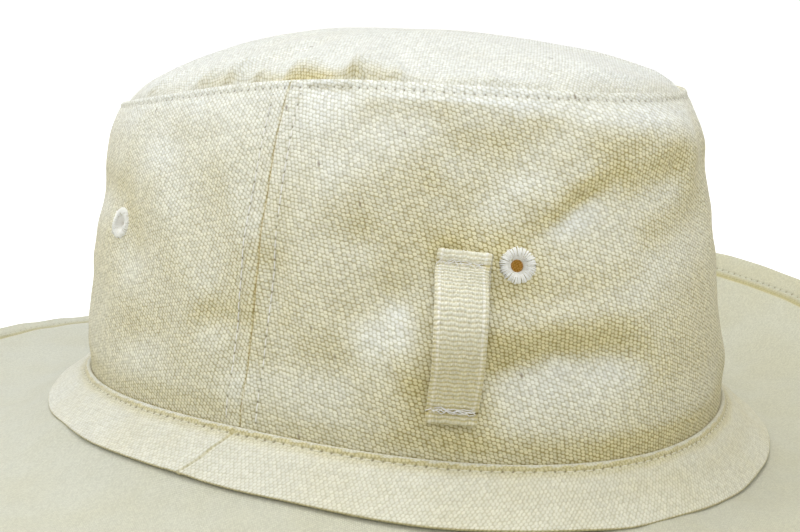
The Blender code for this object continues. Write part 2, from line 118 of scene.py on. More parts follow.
# Folds of the crown's side: where each starts and ends, its width, and how far it stands out, the
# last two as shares of the crown's height
FOLD_FREE_BASE = 0.10
FOLD_FREE_TOP = 0.08
Fold = collections.namedtuple("Fold", "angle share to_angle to_share width depth")
CROWN_FOLDS = (
    Fold(39.5, 0.710, 19.7, 0.823, 0.033, 0.0046),
    Fold(33.3, 0.638, 21.9, 0.765, 0.035, -0.0139),
    Fold(28.3, 0.677, 8.2, 0.765, 0.064, -0.0231),
    Fold(52.0, 0.452, -1.2, 0.631, 0.090, -0.0221),
    Fold(43.9, 0.236, 26.5, 0.290, 0.089, -0.0300),
    Fold(53.2, 0.031, 0.3, 0.011, 0.067, 0.0140),
    Fold(31.6, 0.930, 31.2, 0.853, 0.068, 0.0182),
    Fold(23.2, 0.912, 1.4, 0.860, 0.090, 0.0300),
    Fold(49.9, 0.818, 32.4, 0.886, 0.079, -0.0215),
    Fold(67.5, 0.541, 66.9, 0.372, 0.090, -0.0264),
    Fold(86.9, 0.416, 75.6, 0.669, 0.090, 0.0077),
    Fold(61.2, 0.341, 59.2, 0.229, 0.046, 0.0125),
    Fold(61.0, 0.264, 61.6, 0.053, 0.056, 0.0110),
    Fold(37.0, 0.612, 26.5, 0.726, 0.034, -0.0095),
    Fold(35.0, 0.680, 25.5, 0.790, 0.034, 0.0050),
    Fold(26.0, 0.785, 14.5, 0.868, 0.030, -0.0060),
    Fold(46.5, 0.232, 35.0, 0.292, 0.046, -0.0105),
    Fold(35.0, 0.292, 20.0, 0.262, 0.048, -0.0110),
    Fold(45.0, 0.345, 21.0, 0.392, 0.060, 0.0100),
    Fold(101.3, 0.287, 83.3, 0.295, 0.056, -0.0096),
    Fold(86.1, 0.444, 86.3, 0.392, 0.072, -0.0220),
    Fold(121.7, 0.729, 103.7, 0.352, 0.090, 0.0116),
    Fold(134.2, 0.642, 125.4, 0.467, 0.090, -0.0196),
    Fold(30.2, 0.197, -5.9, 0.183, 0.066, -0.0051),
    Fold(51.0, 0.532, 43.4, 0.766, 0.090, -0.0300),
    Fold(64.1, 0.790, 82.6, 0.696, 0.083, 0.0119),
    Fold(93.8, 0.546, 100.3, 0.784, 0.090, 0.0173),
    Fold(117.9, 0.038, 93.7, 0.031, 0.057, 0.0060),
    Fold(72.2, 0.193, 91.8, 0.179, 0.090, -0.0180),
    Fold(44.0, 0.477, 21.0, 0.552, 0.061, 0.0160),
    Fold(51.9, 0.890, 68.4, 0.887, 0.045, -0.0063),
    Fold(113.5, 0.209, 123.4, 0.184, 0.079, -0.0134),
    Fold(58.1, 0.024, 80.9, 0.010, 0.044, 0.0090),
    Fold(40.3, 0.980, 65.8, 0.984, 0.034, 0.0282),
    Fold(54.3, 0.683, 60.4, 0.406, 0.090, -0.0279),
    Fold(128.5, 0.905, 117.6, 0.852, 0.070, -0.0084),
    Fold(44.0, 0.644, 47.4, 0.644, 0.040, 0.0030),
    Fold(68.1, 0.817, 79.7, 0.706, 0.076, -0.0081),
    Fold(121.7, -0.001, 139.9, 0.030, 0.067, 0.0080),
    Fold(141.0, 0.110, 160.0, 0.120, 0.085, 0.0060),
    Fold(-14.0, 0.130, -42.0, 0.130, 0.075, 0.0080),
    Fold(35.7, 0.989, 43.1, 0.820, 0.090, 0.0198),
    Fold(72.9, 0.925, 92.2, 0.894, 0.062, -0.0079),
    Fold(72.3, 0.979, 81.3, 0.982, 0.026, -0.0300),
    Fold(142.0, 0.660, 166.0, 0.640, 0.085, -0.0150),
    Fold(164.0, 0.780, 184.0, 0.500, 0.110, -0.0200),
    Fold(168.0, 0.620, 180.0, 0.380, 0.060, 0.0100),
    Fold(160.0, 0.220, 190.0, 0.160, 0.070, -0.0120),
    Fold(205.0, 0.300, 225.0, 0.620, 0.080, -0.0160),
    Fold(214.0, 0.240, 236.0, 0.500, 0.060, 0.0100),
    Fold(240.0, 0.840, 262.0, 0.720, 0.070, -0.0100),
    Fold(262.0, 0.400, 282.0, 0.600, 0.080, 0.0130),
    Fold(268.0, 0.280, 292.0, 0.220, 0.060, -0.0100),
    Fold(300.0, 0.280, 330.0, 0.340, 0.080, -0.0200),
    Fold(304.0, 0.180, 334.0, 0.160, 0.070, 0.0120),
    Fold(318.0, 0.640, 350.0, 0.860, 0.070, 0.0120),
    Fold(316.0, 0.580, 346.0, 0.760, 0.040, -0.0110),
)

# The tip: soft gathers at its rim, and broad puffs of its cloth
GATHER_START = 0.30
GATHER_FULL = 0.85
GATHER_FREE_RIM = 0.10
Gather = collections.namedtuple("Gather", "angle width height")
TIP_GATHERS = (
    Gather(14.0, 9.0, 0.040),
    Gather(38.0, 8.0, -0.045),
    Gather(60.0, 6.0, -0.075),
    Gather(68.0, 5.0, 0.060),
    Gather(78.0, 6.0, -0.080),
    Gather(88.0, 5.0, 0.050),
    Gather(98.0, 5.0, -0.060),
    Gather(110.0, 6.0, 0.080),
    Gather(124.0, 7.0, -0.050),
    Gather(150.0, 9.0, 0.045),
    Gather(176.0, 9.0, -0.045),
    Gather(205.0, 8.0, 0.050),
    Gather(232.0, 7.0, -0.055),
    Gather(256.0, 6.0, 0.055),
    Gather(272.0, 6.0, -0.060),
    Gather(290.0, 7.0, 0.050),
    Gather(316.0, 8.0, -0.045),
    Gather(340.0, 8.0, 0.040),
)
TIP_ROUNDNESS = 0.82
Puff = collections.namedtuple("Puff", "angle share width height")
TIP_PUFFS = (
    Puff(150.0, 0.60, 0.20, 0.0013),
    Puff(165.0, 0.38, 0.20, 0.0006),
    Puff(341.0, 0.80, 0.14, 0.0007),
    Puff(238.0, 0.60, 0.18, 0.0006),
    Puff(30.0, 0.45, 0.20, 0.0004),
)
TIP_LEVEL_POWER = 2.0
TIP_QUIET_RIM = 0.12

# The brim: how far its edge lifts on the way round, its fall, and the section of the ring
LIFT_POWER = 1.5
Lift = collections.namedtuple("Lift", "angle share")
BRIM_LIFTS = (
    Lift(8.0, 0.0),
    Lift(42.0, 0.0),
    Lift(84.0, 0.090),
    Lift(120.0, 0.0),
    Lift(146.0, 0.0),
    Lift(180.0, 0.080),
    Lift(210.0, 0.0),
    Lift(224.0, 0.0),
    Lift(290.0, 0.430),
    Lift(368.0, 0.0),
)
Section = collections.namedtuple("Section", "reach drop")
RING_SECTION = (
    Section(0.00, 0.00),
    Section(0.00, 0.10),
    Section(0.10, 0.24),
    Section(0.34, 0.47),
    Section(0.66, 0.75),
    Section(1.00, 1.00),
)
BRIM_FLAT_FROM = 0.80
BRIM_FALL_POWER = 3.0

# The camera, beside the hat and a little above it
CAMERA_AZIMUTH = -61.5
CAMERA_ELEVATION = 11.7
CAMERA_ROLL = 0.5
CAMERA_DISTANCE = 0.432
CAMERA_SIDEWAYS = -0.0007
CAMERA_TARGET_HEIGHT = 0.0529
CAMERA_LENS = 62.145
CAMERA_SENSOR = 36.0

# Fit of the ring and the loop, and places of the rows of stitches
RING_PRESS = 0.0002
LOOP_TOP_TAPER = 0.955
LOOP_FOOT_TAPER = 0.885
TOP_ROW = 0.0019
SEAM_ROW = 0.0047
RING_ROW = 0.0013
HEM_ROW = 0.0016
SEAM_LINE = 0.00006

# Soft unevenness of the cloth
Ripple = collections.namedtuple("Ripple", "seed wave height")
SIDE_RIPPLES = (Ripple(11, 0.034, 0.00012), Ripple(12, 0.011, 0.00009))
TIP_RIPPLES = (Ripple(21, 0.040, 0.0003), Ripple(22, 0.014, 0.00005))
RING_RIPPLES = (Ripple(31, 0.030, 0.00022),)
BRIM_RIPPLES = (Ripple(41, 0.055, 0.0005), Ripple(42, 0.018, 0.00012))
RIPPLE_WAVES = 14

# Lamps of the studio: place, and power in watts
Lamp = collections.namedtuple("Lamp", "name place power")
LAMPS = (
    Lamp("overhead", (0.0, 0.0, 1.35), 11.2),
    Lamp("back_of_hat", (-0.45, 0.95, 0.85), 8.0),
    Lamp("front_of_hat", (0.20, -1.05, 0.85), 4.7),
    Lamp("by_camera", (-0.95, -0.50, 0.80), 7.0),
    Lamp("beyond", (0.80, 0.45, 0.95), 4.0),
)
LAMP_SIZE = 1.0
FLOOR_PAPER = (0.90, 0.90, 0.89)

# Light that reaches the cloth, and how its lack is painted into the cloth's colour as a warmer,
# darker shade
AIR_LIGHT = 0.19
LAMP_LIGHT = 0.053
FULL_LIGHT = 0.78
SHADE_RANGE = 0.42
SHADE_SOFTNESS = 0.02
MOST_WARMTH = 1.1
MOST_PAINTED_SHADE = 1.15

# Painted shade on the crown's side: at its base, beside the loop and the eyelets and along the seam
# lines, taken back at its foot and on its far side. In BASE_SHADES depth is how much painted shade,
# not a depth of the cloth
Tuck = collections.namedtuple("Tuck", "angle width depth")
BASE_SHADES = (
    Tuck(4.0, 30.0, 0.75),
    Tuck(128.0, 22.0, 0.12),
    Tuck(236.0, 30.0, 0.40),
)
BASE_SHADE_REACH = 0.055
FOLD_SHADE = 1.1
FINE_SHADE = 0.15
FOOT_LIGHT = 0.12
FOOT_REACH = 0.30
LOOP_SHADE = 0.3
LOOP_SHADE_REACH = 0.006
EYELET_SHADE = 0.25
EYELET_SHADE_REACH = 0.0085
FAR_SIDE = 255.0
FAR_SIDE_WIDTH = 70.0
FAR_SIDE_LIGHT = 0.35
SEAM_SHADE = 0.5

# Painted shade on the tip, the ring and the brim, and the warmer tone of the brim's hem band
TIP_RIM_SHADE = 0.12
TUCK_SHADE = 420.0
RING_SHADE = 0.19
RING_FRONT_SHADE = 0.26
RING_ROW_SHADE = 0.25
RING_FOLD_SHADE = 0.5
BRIM_SHADE = 0.25
BRIM_FRONT_SHADE = 0.12
HEM_BAND_WARMTH = 0.15
HEM_FOLD_SHADE = 0.7

# Pleats pressed into the tip along the top seam, and the tucks where its cloth is drawn in
Pleat = collections.namedtuple("Pleat", "angle width height")
TIP_PLEATS = (
    Pleat(117.5, 2.4, 0.0010),
    Pleat(108.0, 2.4, 0.0011),
    Pleat(99.0, 2.0, 0.0009),
    Pleat(92.5, 1.8, -0.0008),
    Pleat(71.5, 2.2, 0.0013),
    Pleat(61.0, 1.8, 0.0008),
    Pleat(52.0, 2.0, -0.0006),
    Pleat(41.0, 2.4, 0.0005),
    Pleat(28.0, 2.6, -0.0005),
    Pleat(126.0, 2.2, -0.0008),
    Pleat(137.0, 2.4, 0.0008),
    Pleat(153.0, 2.6, -0.0006),
    Pleat(171.0, 2.4, 0.0007),
    Pleat(194.0, 2.6, -0.0007),
    Pleat(216.0, 2.4, 0.0008),
    Pleat(238.0, 2.2, 0.0009),
    Pleat(251.0, 2.0, -0.0008),
    Pleat(264.0, 2.2, 0.0010),
    Pleat(279.0, 2.0, 0.0009),
    Pleat(297.0, 2.4, -0.0007),
    Pleat(322.0, 2.6, 0.0006),
    Pleat(348.0, 2.6, -0.0005),
)
TIP_TUCKS = (
    Tuck(84.0, 10.5, 0.0020),
    Tuck(65.5, 4.5, 0.0009),
    Tuck(112.5, 4.0, 0.0007),
    Tuck(262.0, 8.0, 0.0014),
    Tuck(188.0, 7.0, 0.0008),
)
PLEAT_FULLNESS = 1.9

# Colours of the small marks in the cloth and the tape, of the painted shade in needle holes, in the
# gaps between yarns and in the tape's valleys and slits, and of the painted glow that stands for
# daylight coming through the cloth
FLECK = (0.16, 0.11, 0.055, 1.0)
NEEDLE_HOLE_SHADE = (0.22, 0.19, 0.11, 1.0)
BRIM_GAP_SHADE = (0.42, 0.41, 0.32)
TAPE_GAP_SHADE = (0.50, 0.45, 0.30, 1.0)
TAPE_SPECK = (0.34, 0.29, 0.17, 1.0)
TAPE_LINE = (0.95, 0.94, 0.88, 1.0)
TAPE_VALLEY_SHADE = (0.47, 0.375, 0.07, 1.0)
TAPE_SLIT_SHADE = (0.15, 0.12, 0.06, 1.0)
PAINTED_INSIDE_GLOW = (0.150, 0.066, 0.001)

# Cutting and sewing
WEAVE_DEPTH = 0.00013
BRIM_WEAVE_DEPTH = 0.00005
YARN_SWAY = 0.4
YARN_SCATTER = 0.22
FLOAT_ALONG = (1.36, 1.06)
FLOAT_ACROSS = (-1.30, 1.66)
THREAD_FIBRES = 4200.0
THREAD_PATCHES = 260.0
NEEDLE_SIZE = 0.00025
CLOTH_EDGE = 0.00022
EYELET_CUT = 0.0026
EYELET_STRANDS = 72
TURNED_EDGE = (0.0014, 0.0028, 0.0042)
TURNED_CLEARANCE = 0.0006
BIAS_ALONG = 1.4
BIAS_DOWN = 0.76
TAPE_LINE_INSET = 0.0014
TACK_PLACE = 0.00275
TACK_ROWS = (-0.00045, 0.00005, 0.0005)
TACK_THREAD = 0.00013

# How finely the meshes are cut: numbers of points, and stretches of a length and a cell size
EDGE_POINTS = 5
STITCH_POINTS = 6
CURVE_STEPS = 24
TIP_COLUMNS = 521
BRIM_COLUMNS = 721
TAPE_COLUMNS = 66
SEAM_STRETCH = (0.0075, 0.0004)
TOP_STRETCH = (0.0040, 0.00036)
TUCK_CELL = 0.0012
JOINT_STRETCHES = ((0.002, 0.0002), (0.004, 0.0005))
RING_CELL = 0.0013
MERGE = 0.000001


class HatSizes(bpy.types.PropertyGroup):
    """Sizes of the cloth, the tape and the sewing."""

    yarn_column: bpy.props.FloatProperty(
        name="Yarn Column",
        description="Distance between the upright yarns of the canvas",
        default=0.00110,
        unit="LENGTH",
        precision=5,
    )
    yarn_float: bpy.props.FloatProperty(
        name="Yarn Float",
        description="Distance from one float of an upright yarn to its next",
        default=0.00093,
        unit="LENGTH",
        precision=5,
    )
    brim_yarn: bpy.props.FloatProperty(
        name="Brim Yarn",
        description="Distance between the yarns of the brim's finer cloth",
        default=0.00052,
        unit="LENGTH",
        precision=6,
    )
    stitch_pitch: bpy.props.FloatProperty(
        name="Stitch Pitch",
        description="Distance between needle holes",
        default=0.0027,
        unit="LENGTH",
        precision=5,
    )
    thread_radius: bpy.props.FloatProperty(
        name="Thread Radius",
        description="Half the thickness of the sewing thread",
        default=0.00017,
        unit="LENGTH",
        precision=6,
    )
    hem_width: bpy.props.FloatProperty(
        name="Hem Width",
        description="Width of the band that binds the brim's edge",
        default=0.0085,
        unit="LENGTH",
        precision=4,
    )
    tape_rib: bpy.props.FloatProperty(
        name="Tape Rib",
        description="Distance between the ribs across the webbing loop",
        default=0.00094,
        unit="LENGTH",
        precision=5,
    )
    cell: bpy.props.FloatProperty(
        name="Cloth Cell",
        description="Size of the faces in the middle of a panel",
        default=0.00125,
        unit="LENGTH",
        precision=5,
    )


class HatColours(bpy.types.PropertyGroup):
    """Colours of the cloth, the tape and the thread."""

    canvas: bpy.props.FloatVectorProperty(
        name="Canvas",
        description="Natural cream of the crown and the ring",
        default=(0.800, 0.820, 0.778),
        subtype="COLOR",
        min=0.0,
        max=1.0,
    )
    canvas_gap: bpy.props.FloatVectorProperty(
        name="Canvas Gaps",
        description="Shade between the yarns of the canvas",
        default=(0.43, 0.40, 0.235),
        subtype="COLOR",
        min=0.0,
        max=1.0,
    )
    brim: bpy.props.FloatVectorProperty(
        name="Brim",
        description="Cooler white of the brim's finer cloth",
        default=(0.57, 0.585, 0.515),
        subtype="COLOR",
        min=0.0,
        max=1.0,
    )
    tape: bpy.props.FloatVectorProperty(
        name="Tape",
        description="Off-white of the webbing loop",
        default=(0.83, 0.825, 0.70),
        subtype="COLOR",
        min=0.0,
        max=1.0,
    )
    thread: bpy.props.FloatVectorProperty(
        name="Thread",
        description="White of the stitches",
        default=(0.88, 0.87, 0.82),
        subtype="COLOR",
        min=0.0,
        max=1.0,
    )
    eyelet: bpy.props.FloatVectorProperty(
        name="Eyelet Thread",
        description="Cool white of the embroidered eyelets",
        default=(0.92, 0.92, 0.86),
        subtype="COLOR",
        min=0.0,
        max=1.0,
    )
    tack: bpy.props.FloatVectorProperty(
        name="Tack Thread",
        description="White of the sewing on the loop's ends",
        default=(0.84, 0.83, 0.78),
        subtype="COLOR",
        min=0.0,
        max=1.0,
    )
    canvas_shade: bpy.props.FloatVectorProperty(
        name="Canvas in Shade",
        description="Warmer cream that the canvas takes where little light reaches it",
        default=(0.70, 0.640, 0.375),
        subtype="COLOR",
        min=0.0,
        max=1.0,
    )


# Shape of the hat

def blend(start, end, share):
    return start + (end - start) * share


def smooth_step(share):
    share = np.clip(share, 0.0, 1.0)
    return share * share * (3.0 - 2.0 * share)


def around(angle, middle):
    """Difference of two angles, the short way round."""
    return np.mod(angle - middle + 0.5 * FULL_TURN, FULL_TURN) - 0.5 * FULL_TURN


def bump_at(distance, width):
    """A soft bump of height 1 at distance 0."""
    return np.exp(-((distance / width) ** 2))


def oval(half_length, half_width, angle):
    """Points of a soft-cornered oval, and their outward directions, in the floor's plane."""
    sine = np.sin(np.radians(angle))
    cosine = np.cos(np.radians(angle))
    power = OVAL_POWER
    size = np.abs(sine / half_width) ** power + np.abs(cosine / half_length) ** power
    radius = size ** (-1.0 / power)
    x = -radius * sine
    y = -radius * cosine
    across = np.sign(x) * np.abs(x / half_width) ** (power - 1.0) / half_width
    along = np.sign(y) * np.abs(y / half_length) ** (power - 1.0) / half_length
    length = np.hypot(across, along)
    return x, y, across / length, along / length


def base_height(angle):
    turn = np.radians(angle)
    dip = BASE_FRONT_DIP * np.cos(turn) + BASE_END_DIP * np.cos(2.0 * turn)
    return BASE_ABOVE_REST - dip


def top_height(angle):
    turn = np.radians(angle)
    rise = CROWN_FRONT_RISE * np.cos(turn) - CROWN_SIDE_RISE * np.cos(2.0 * turn)
    return BASE_ABOVE_REST + CROWN_HEIGHT + rise + CROWN_RIGHT_RISE * np.sin(turn)


def fold_depth(angle, share):
    """How far the crown's folds push the wall outwards."""
    scale = math.radians(1.0) * BASE_HALF_LENGTH
    x = angle * scale
    y = share * CROWN_HEIGHT
    depth = np.zeros(np.broadcast(angle, share).shape)
    for fold in CROWN_FOLDS:
        for lap in (-FULL_TURN, 0.0, FULL_TURN):
            start_x = (fold.angle + lap) * scale
            start_y = fold.share * CROWN_HEIGHT
            along_x = (fold.to_angle - fold.angle) * scale
            along_y = (fold.to_share - fold.share) * CROWN_HEIGHT
            reach = (x - start_x) * along_x + (y - start_y) * along_y
            reach = np.clip(reach / (along_x**2 + along_y**2), 0.0, 1.0)
            away = np.hypot(x - start_x - along_x * reach, y - start_y - along_y * reach)
            depth = depth + fold.depth * CROWN_HEIGHT * bump_at(away, fold.width * CROWN_HEIGHT)
    fade = smooth_step(share / FOLD_FREE_BASE) * smooth_step((1.0 - share) / FOLD_FREE_TOP)
    return depth * fade


def crown_wall(angle, share, relief=0.0):
    """The outside of the crown's side, moved outwards by the relief."""
    inside = np.clip(share, 0.0, 1.0)
    swell = CROWN_BULGE * 4.0 * inside * (1.0 - inside)
    puff = CROWN_FOOT_PUFF * bump_at(inside - PUFF_PLACE, PUFF_WIDTH)
    swell = swell + puff * smooth_step(inside / PUFF_WIDTH)
    full = bump_at(around(2.0 * angle, 2.0 * SHOULDER_FULL_ANGLE), SHOULDER_FULL_WIDTH)
    shoulder = CROWN_SHOULDER * (1.0 - SHOULDER_FULLNESS * full)
    swell = swell - shoulder * np.maximum((inside - 1.0) / SHOULDER_WIDTH + 1.0, 0.0) ** 2
    swell = swell + fold_depth(angle, inside) + relief
    half_length = blend(BASE_HALF_LENGTH, TOP_HALF_LENGTH, inside)
    half_width = blend(BASE_HALF_WIDTH, TOP_HALF_WIDTH, inside)
    x, y, out_x, out_y = oval(half_length, half_width, angle)
    x = x + out_x * swell + CROWN_LEAN_LEFT * inside
    y = y + out_y * swell + CROWN_LEAN_BACK * inside
    z = blend(base_height(angle), top_height(angle), share)
    return np.stack(np.broadcast_arrays(x, y, z), axis=-1)


def ripples(points, kinds):
    """A soft unevenness of cloth, from waves that run in every direction through space."""
    total = np.zeros(points.shape[:-1])
    for kind in kinds:
        pick = np.random.default_rng(kind.seed)
        waves = np.zeros(points.shape[:-1])
        for _ in range(RIPPLE_WAVES):
            way = pick.normal(size=3)
            wave = kind.wave * pick.uniform(0.7, 1.6)
            way = way / np.linalg.norm(way) * 2.0 * math.pi / wave
            waves = waves + np.sin(points @ way + pick.uniform(0.0, 2.0 * math.pi))
        total = total + waves * kind.height / math.sqrt(0.5 * RIPPLE_WAVES)
    return total


# Distance round the crown's base at each angle, from the middle of the front
ARC_ANGLES = np.arange(-200.0, 560.5, 0.5)
_arc_x, _arc_y, _, _ = oval(BASE_HALF_LENGTH, BASE_HALF_WIDTH, ARC_ANGLES)
ARC_LENGTHS = np.concatenate(([0.0], np.cumsum(np.hypot(np.diff(_arc_x), np.diff(_arc_y)))))
ARC_LENGTHS -= np.interp(0.0, ARC_ANGLES, ARC_LENGTHS)
PERIMETER = float(np.interp(FULL_TURN, ARC_ANGLES, ARC_LENGTHS))


def base_arc(angle):
    """Distance round the crown's base from the middle of the front."""
    return np.interp(angle, ARC_ANGLES, ARC_LENGTHS)


def arc_angle(arc):
    return np.interp(arc, ARC_LENGTHS, ARC_ANGLES)


def shrink(share):
    """How much shorter the way round the crown is at that share of its height."""
    return 1.0 - CROWN_TAPER * share


def seam_angle(share):
    return blend(SEAM_ANGLE_AT_BASE, SEAM_ANGLE_AT_TOP, share)


def half_seam_gap(share):
    half_width = blend(BASE_HALF_WIDTH, TOP_HALF_WIDTH, share)
    return np.degrees(0.5 * SEAM_LINE / half_width)


def front_ends(share):
    seam = seam_angle(share) - half_seam_gap(share)
    return -seam, seam


def back_ends(share):
    seam = seam_angle(share) + half_seam_gap(share)
    return seam, FULL_TURN - seam


def ring_reach(angle):
    return RING_REACH + RING_FRONT_REACH * np.cos(np.radians(angle))


def ring_drop(angle):
    return RING_DROP + RING_FRONT_DROP * np.cos(np.radians(angle))


def around_base(angle, reach, height):
    """Places that lie that far out from the crown's base oval."""
    x, y, out_x, out_y = oval(BASE_HALF_LENGTH, BASE_HALF_WIDTH, angle)
    return np.stack(np.broadcast_arrays(x + out_x * reach, y + out_y * reach, height), axis=-1)


def ring_place(angle, row):
    reach = blend(PIECE_GAP + RING_CLOTH, ring_reach(angle), row.reach)
    return reach, base_height(angle) - ring_drop(angle) * row.drop


def ring_slope(angle):
    inner_reach, inner_height = ring_place(angle, RING_SECTION[-2])
    outer_reach, outer_height = ring_place(angle, RING_SECTION[-1])
    return (inner_height - outer_height) / (outer_reach - inner_reach)


def brim_lift(angle):
    """How far the brim's edge lifts off the surface."""
    angle = np.mod(angle - BRIM_LIFTS[0].angle, FULL_TURN) + BRIM_LIFTS[0].angle
    lift = np.zeros(np.shape(angle))
    for low, high in zip(BRIM_LIFTS, BRIM_LIFTS[1:]):
        inside = (angle >= low.angle) & (angle <= high.angle)
        share = smooth_step((angle - low.angle) / (high.angle - low.angle))
        lift = np.where(inside, blend(low.share, high.share, share) * BRIM_REACH, lift)
    return lift


def brim_height(angle, reach):
    """Height of the outer brim's upper surface."""
    slope = ring_slope(angle)
    start_reach, start_height = ring_place(angle, RING_SECTION[-1])
    start_height = start_height - (RING_CLOTH + LAP_GAP) * np.hypot(1.0, slope)
    under_ring = start_height + slope * (start_reach - reach)
    share = np.clip((reach - start_reach) / (BRIM_REACH - start_reach), 0.0, None)
    settled = np.minimum(share / BRIM_FLAT_FROM, 1.0)
    fall = 1.0 - (1.0 - settled) ** BRIM_FALL_POWER
    beyond = blend(start_height, BRIM_CLOTH, fall) + brim_lift(angle) * share**LIFT_POWER
    return np.where(reach <= start_reach, under_ring, beyond)


def tip_dome(angle, share):
    """The outside of the crown's tip, from 0 in the middle to 1 at its rim."""
    rim = crown_wall(angle, np.ones_like(angle))
    middle = np.array((CROWN_LEAN_LEFT, CROWN_LEAN_BACK, BASE_ABOVE_REST + CROWN_HEIGHT))
    points = middle + (rim - middle) * share[..., None]
    points[..., 2] = blend(middle[2], rim[..., 2], share**TIP_LEVEL_POWER)
    gathered = np.zeros(angle.shape)
    for gather in TIP_GATHERS:
        away = around(angle, gather.angle)
        gathered = gathered + gather.height * bump_at(away, gather.width)
    risen = smooth_step((share - GATHER_START) / (GATHER_FULL - GATHER_START))
    risen = risen * smooth_step((1.0 - share) / GATHER_FREE_RIM)
    dome = np.clip(1.0 - share * share, 0.0, 1.0) ** TIP_ROUNDNESS + gathered * risen
    points[..., 2] += TIP_DOME * dome
    turn = np.radians(angle)
    for puff in TIP_PUFFS:
        place = math.radians(puff.angle)
        across = share * np.sin(turn) - puff.share * math.sin(place)
        along = share * np.cos(turn) - puff.share * math.cos(place)
        bump = puff.height * bump_at(np.hypot(across, along), puff.width)
        points[..., 2] += bump * smooth_step((1.0 - share) / TIP_QUIET_RIM)
    return points


def outward_of(points):
    """Unit normals of a grid of points."""
    down = np.gradient(points, axis=0)
    across = np.gradient(points, axis=1)
    normal = np.cross(across, down)
    return normal / np.maximum(np.linalg.norm(normal, axis=-1, keepdims=True), 1e-12)


def lamp_shade(points):
    """How much painted shade the cloth takes at each place, from 0 in full light to 1 in shade,
    worked out from the light that the lamps send to it; the finishes turn it into a warmer, darker
    colour.
    """
    normal = outward_of(points)
    light = np.full(points.shape[:-1], AIR_LIGHT)
    for lamp in LAMPS:
        way = np.array(lamp.place) - points
        reach = np.sum(way * way, axis=-1)
        facing = np.sum(normal * way, axis=-1) / np.sqrt(reach)
        facing = facing + np.sqrt(facing**2 + SHADE_SOFTNESS)
        light += LAMP_LIGHT * lamp.power / reach * 0.5 * facing
    shade = (FULL_LIGHT - light) / SHADE_RANGE
    return np.minimum(0.5 * (shade + np.sqrt(shade**2 + SHADE_SOFTNESS)), MOST_WARMTH)


def spaced(*stretches):
    """Distances from 0, in stretches that each have a length and a cell size."""
    places = [0.0]
    for length, cell in stretches:
        steps = max(1, round(length / cell))
        start = places[-1]
        places.extend(start + length * (step + 1) / steps for step in range(steps))
    return np.array(places)


def lengths_along(line):
    """Distance of each point of a line from its start."""
    return np.concatenate(([0.0], np.cumsum(np.linalg.norm(np.diff(line, axis=0), axis=1))))


def directions(line):
    """Unit directions along a line."""
    way = np.gradient(line, axis=0)
    return way / np.linalg.norm(way, axis=1, keepdims=True)


def points_at(places, run, line):
    """Points of a line at the given distances, where run is the distance of each of its points."""
    return np.stack([np.interp(places, run, part) for part in np.transpose(line)], axis=-1)


def smooth_curve(points, count):
    """A soft line through the points, with that many points evenly along it, or with one at each
    of the given shares of its length."""
    points = np.asarray(points, float)
    before = np.vstack((2.0 * points[0] - points[1], points[:-1]))
    after = np.vstack((points[1:], 2.0 * points[-1] - points[-2]))
    tangent = 0.5 * (after - before)
    share = np.linspace(0.0, 1.0, CURVE_STEPS, endpoint=False)[:, None]
    pieces = []
    for start, end, leave, arrive in zip(points[:-1], points[1:], tangent[:-1], tangent[1:]):
        pieces.append(
            (2 * share**3 - 3 * share**2 + 1) * start
            + (share**3 - 2 * share**2 + share) * leave
            + (3 * share**2 - 2 * share**3) * end
            + (share**3 - share**2) * arrive
        )
    line = np.vstack(pieces + [points[-1:]])
    run = lengths_along(line)
    shares = np.linspace(0.0, 1.0, count) if np.isscalar(count) else np.asarray(count)
    return points_at(shares * run[-1], run, line)


# Meshes

def cloth_piece(name, points, maps, painted_shade=None, joined=False, wall=None, drop_faces=None):
    """A cloth surface made from a flat grid. Each map gives a UV coordinate to every point, or is
    a pair of such maps with a mask of the cells that take the second one."""
    rows, columns = points.shape[0] - 1, points.shape[1] - 1
    work = bmesh.new()
    bmesh.ops.create_grid(work, x_segments=columns, y_segments=rows, size=0.5)
    flat = np.array([vert.co[:2] for vert in work.verts]) + 0.5
    column = np.rint(flat[:, 0] * columns).astype(int)
    row = np.rint(flat[:, 1] * rows).astype(int)
    mesh = bpy.data.meshes.new(name)
    work.to_mesh(mesh)
    work.free()
    mesh.vertices.foreach_set("co", points[row, column].astype(np.float32).ravel())
    corner = np.empty(len(mesh.loops), dtype=np.int32)
    mesh.loops.foreach_get("vertex_index", corner)
    corner_row = row[corner].reshape(-1, 4)
    corner_column = column[corner].reshape(-1, 4)
    cell_row = corner_row.min(axis=1)
    cell_column = corner_column.min(axis=1)
    for title, values in maps.items():
        layer = mesh.uv_layers.new(name=title)
        if isinstance(values, tuple):
            first, second, use_second = values
            chosen = np.where(
                use_second[cell_row, cell_column][:, None, None],
                second[corner_row, corner_column],
                first[corner_row, corner_column],
            )
        else:
            chosen = values[corner_row, corner_column]
        layer.data.foreach_set("uv", chosen.astype(np.float32).ravel())
    # Painted shade of each point, kept as an attribute that the finishes turn into a warmer, darker
    # colour
    if painted_shade is not None:
        layer = mesh.attributes.new("painted_shade", "FLOAT", "POINT")
        depth = np.clip(painted_shade, 0.0, MOST_PAINTED_SHADE)[row, column]
        layer.data.foreach_set("value", depth.astype(np.float32))
    work = bmesh.new()
    work.from_mesh(mesh)
    if drop_faces is not None:
        gone = [f for f in work.faces if drop_faces(f.calc_center_median())]
        bmesh.ops.delete(work, geom=gone, context="FACES")
    if joined:
        bmesh.ops.remove_doubles(work, verts=work.verts, dist=MERGE)
    work.to_mesh(mesh)
    work.free()
    mesh.shade_smooth()
    piece = bpy.data.objects.new(name, mesh)
    bpy.context.scene.collection.objects.link(piece)
    if wall is not None:
        thick = piece.modifiers.new("cloth", "SOLIDIFY")
        thick.thickness = wall
        thick.offset = -1.0
        thick.use_even_offset = False
        rim = piece.modifiers.new("rim", "BEVEL")
        rim.width = CLOTH_EDGE
        rim.segments = 2
        rim.limit_method = "ANGLE"
        rim.angle_limit = math.radians(50.0)
    return piece


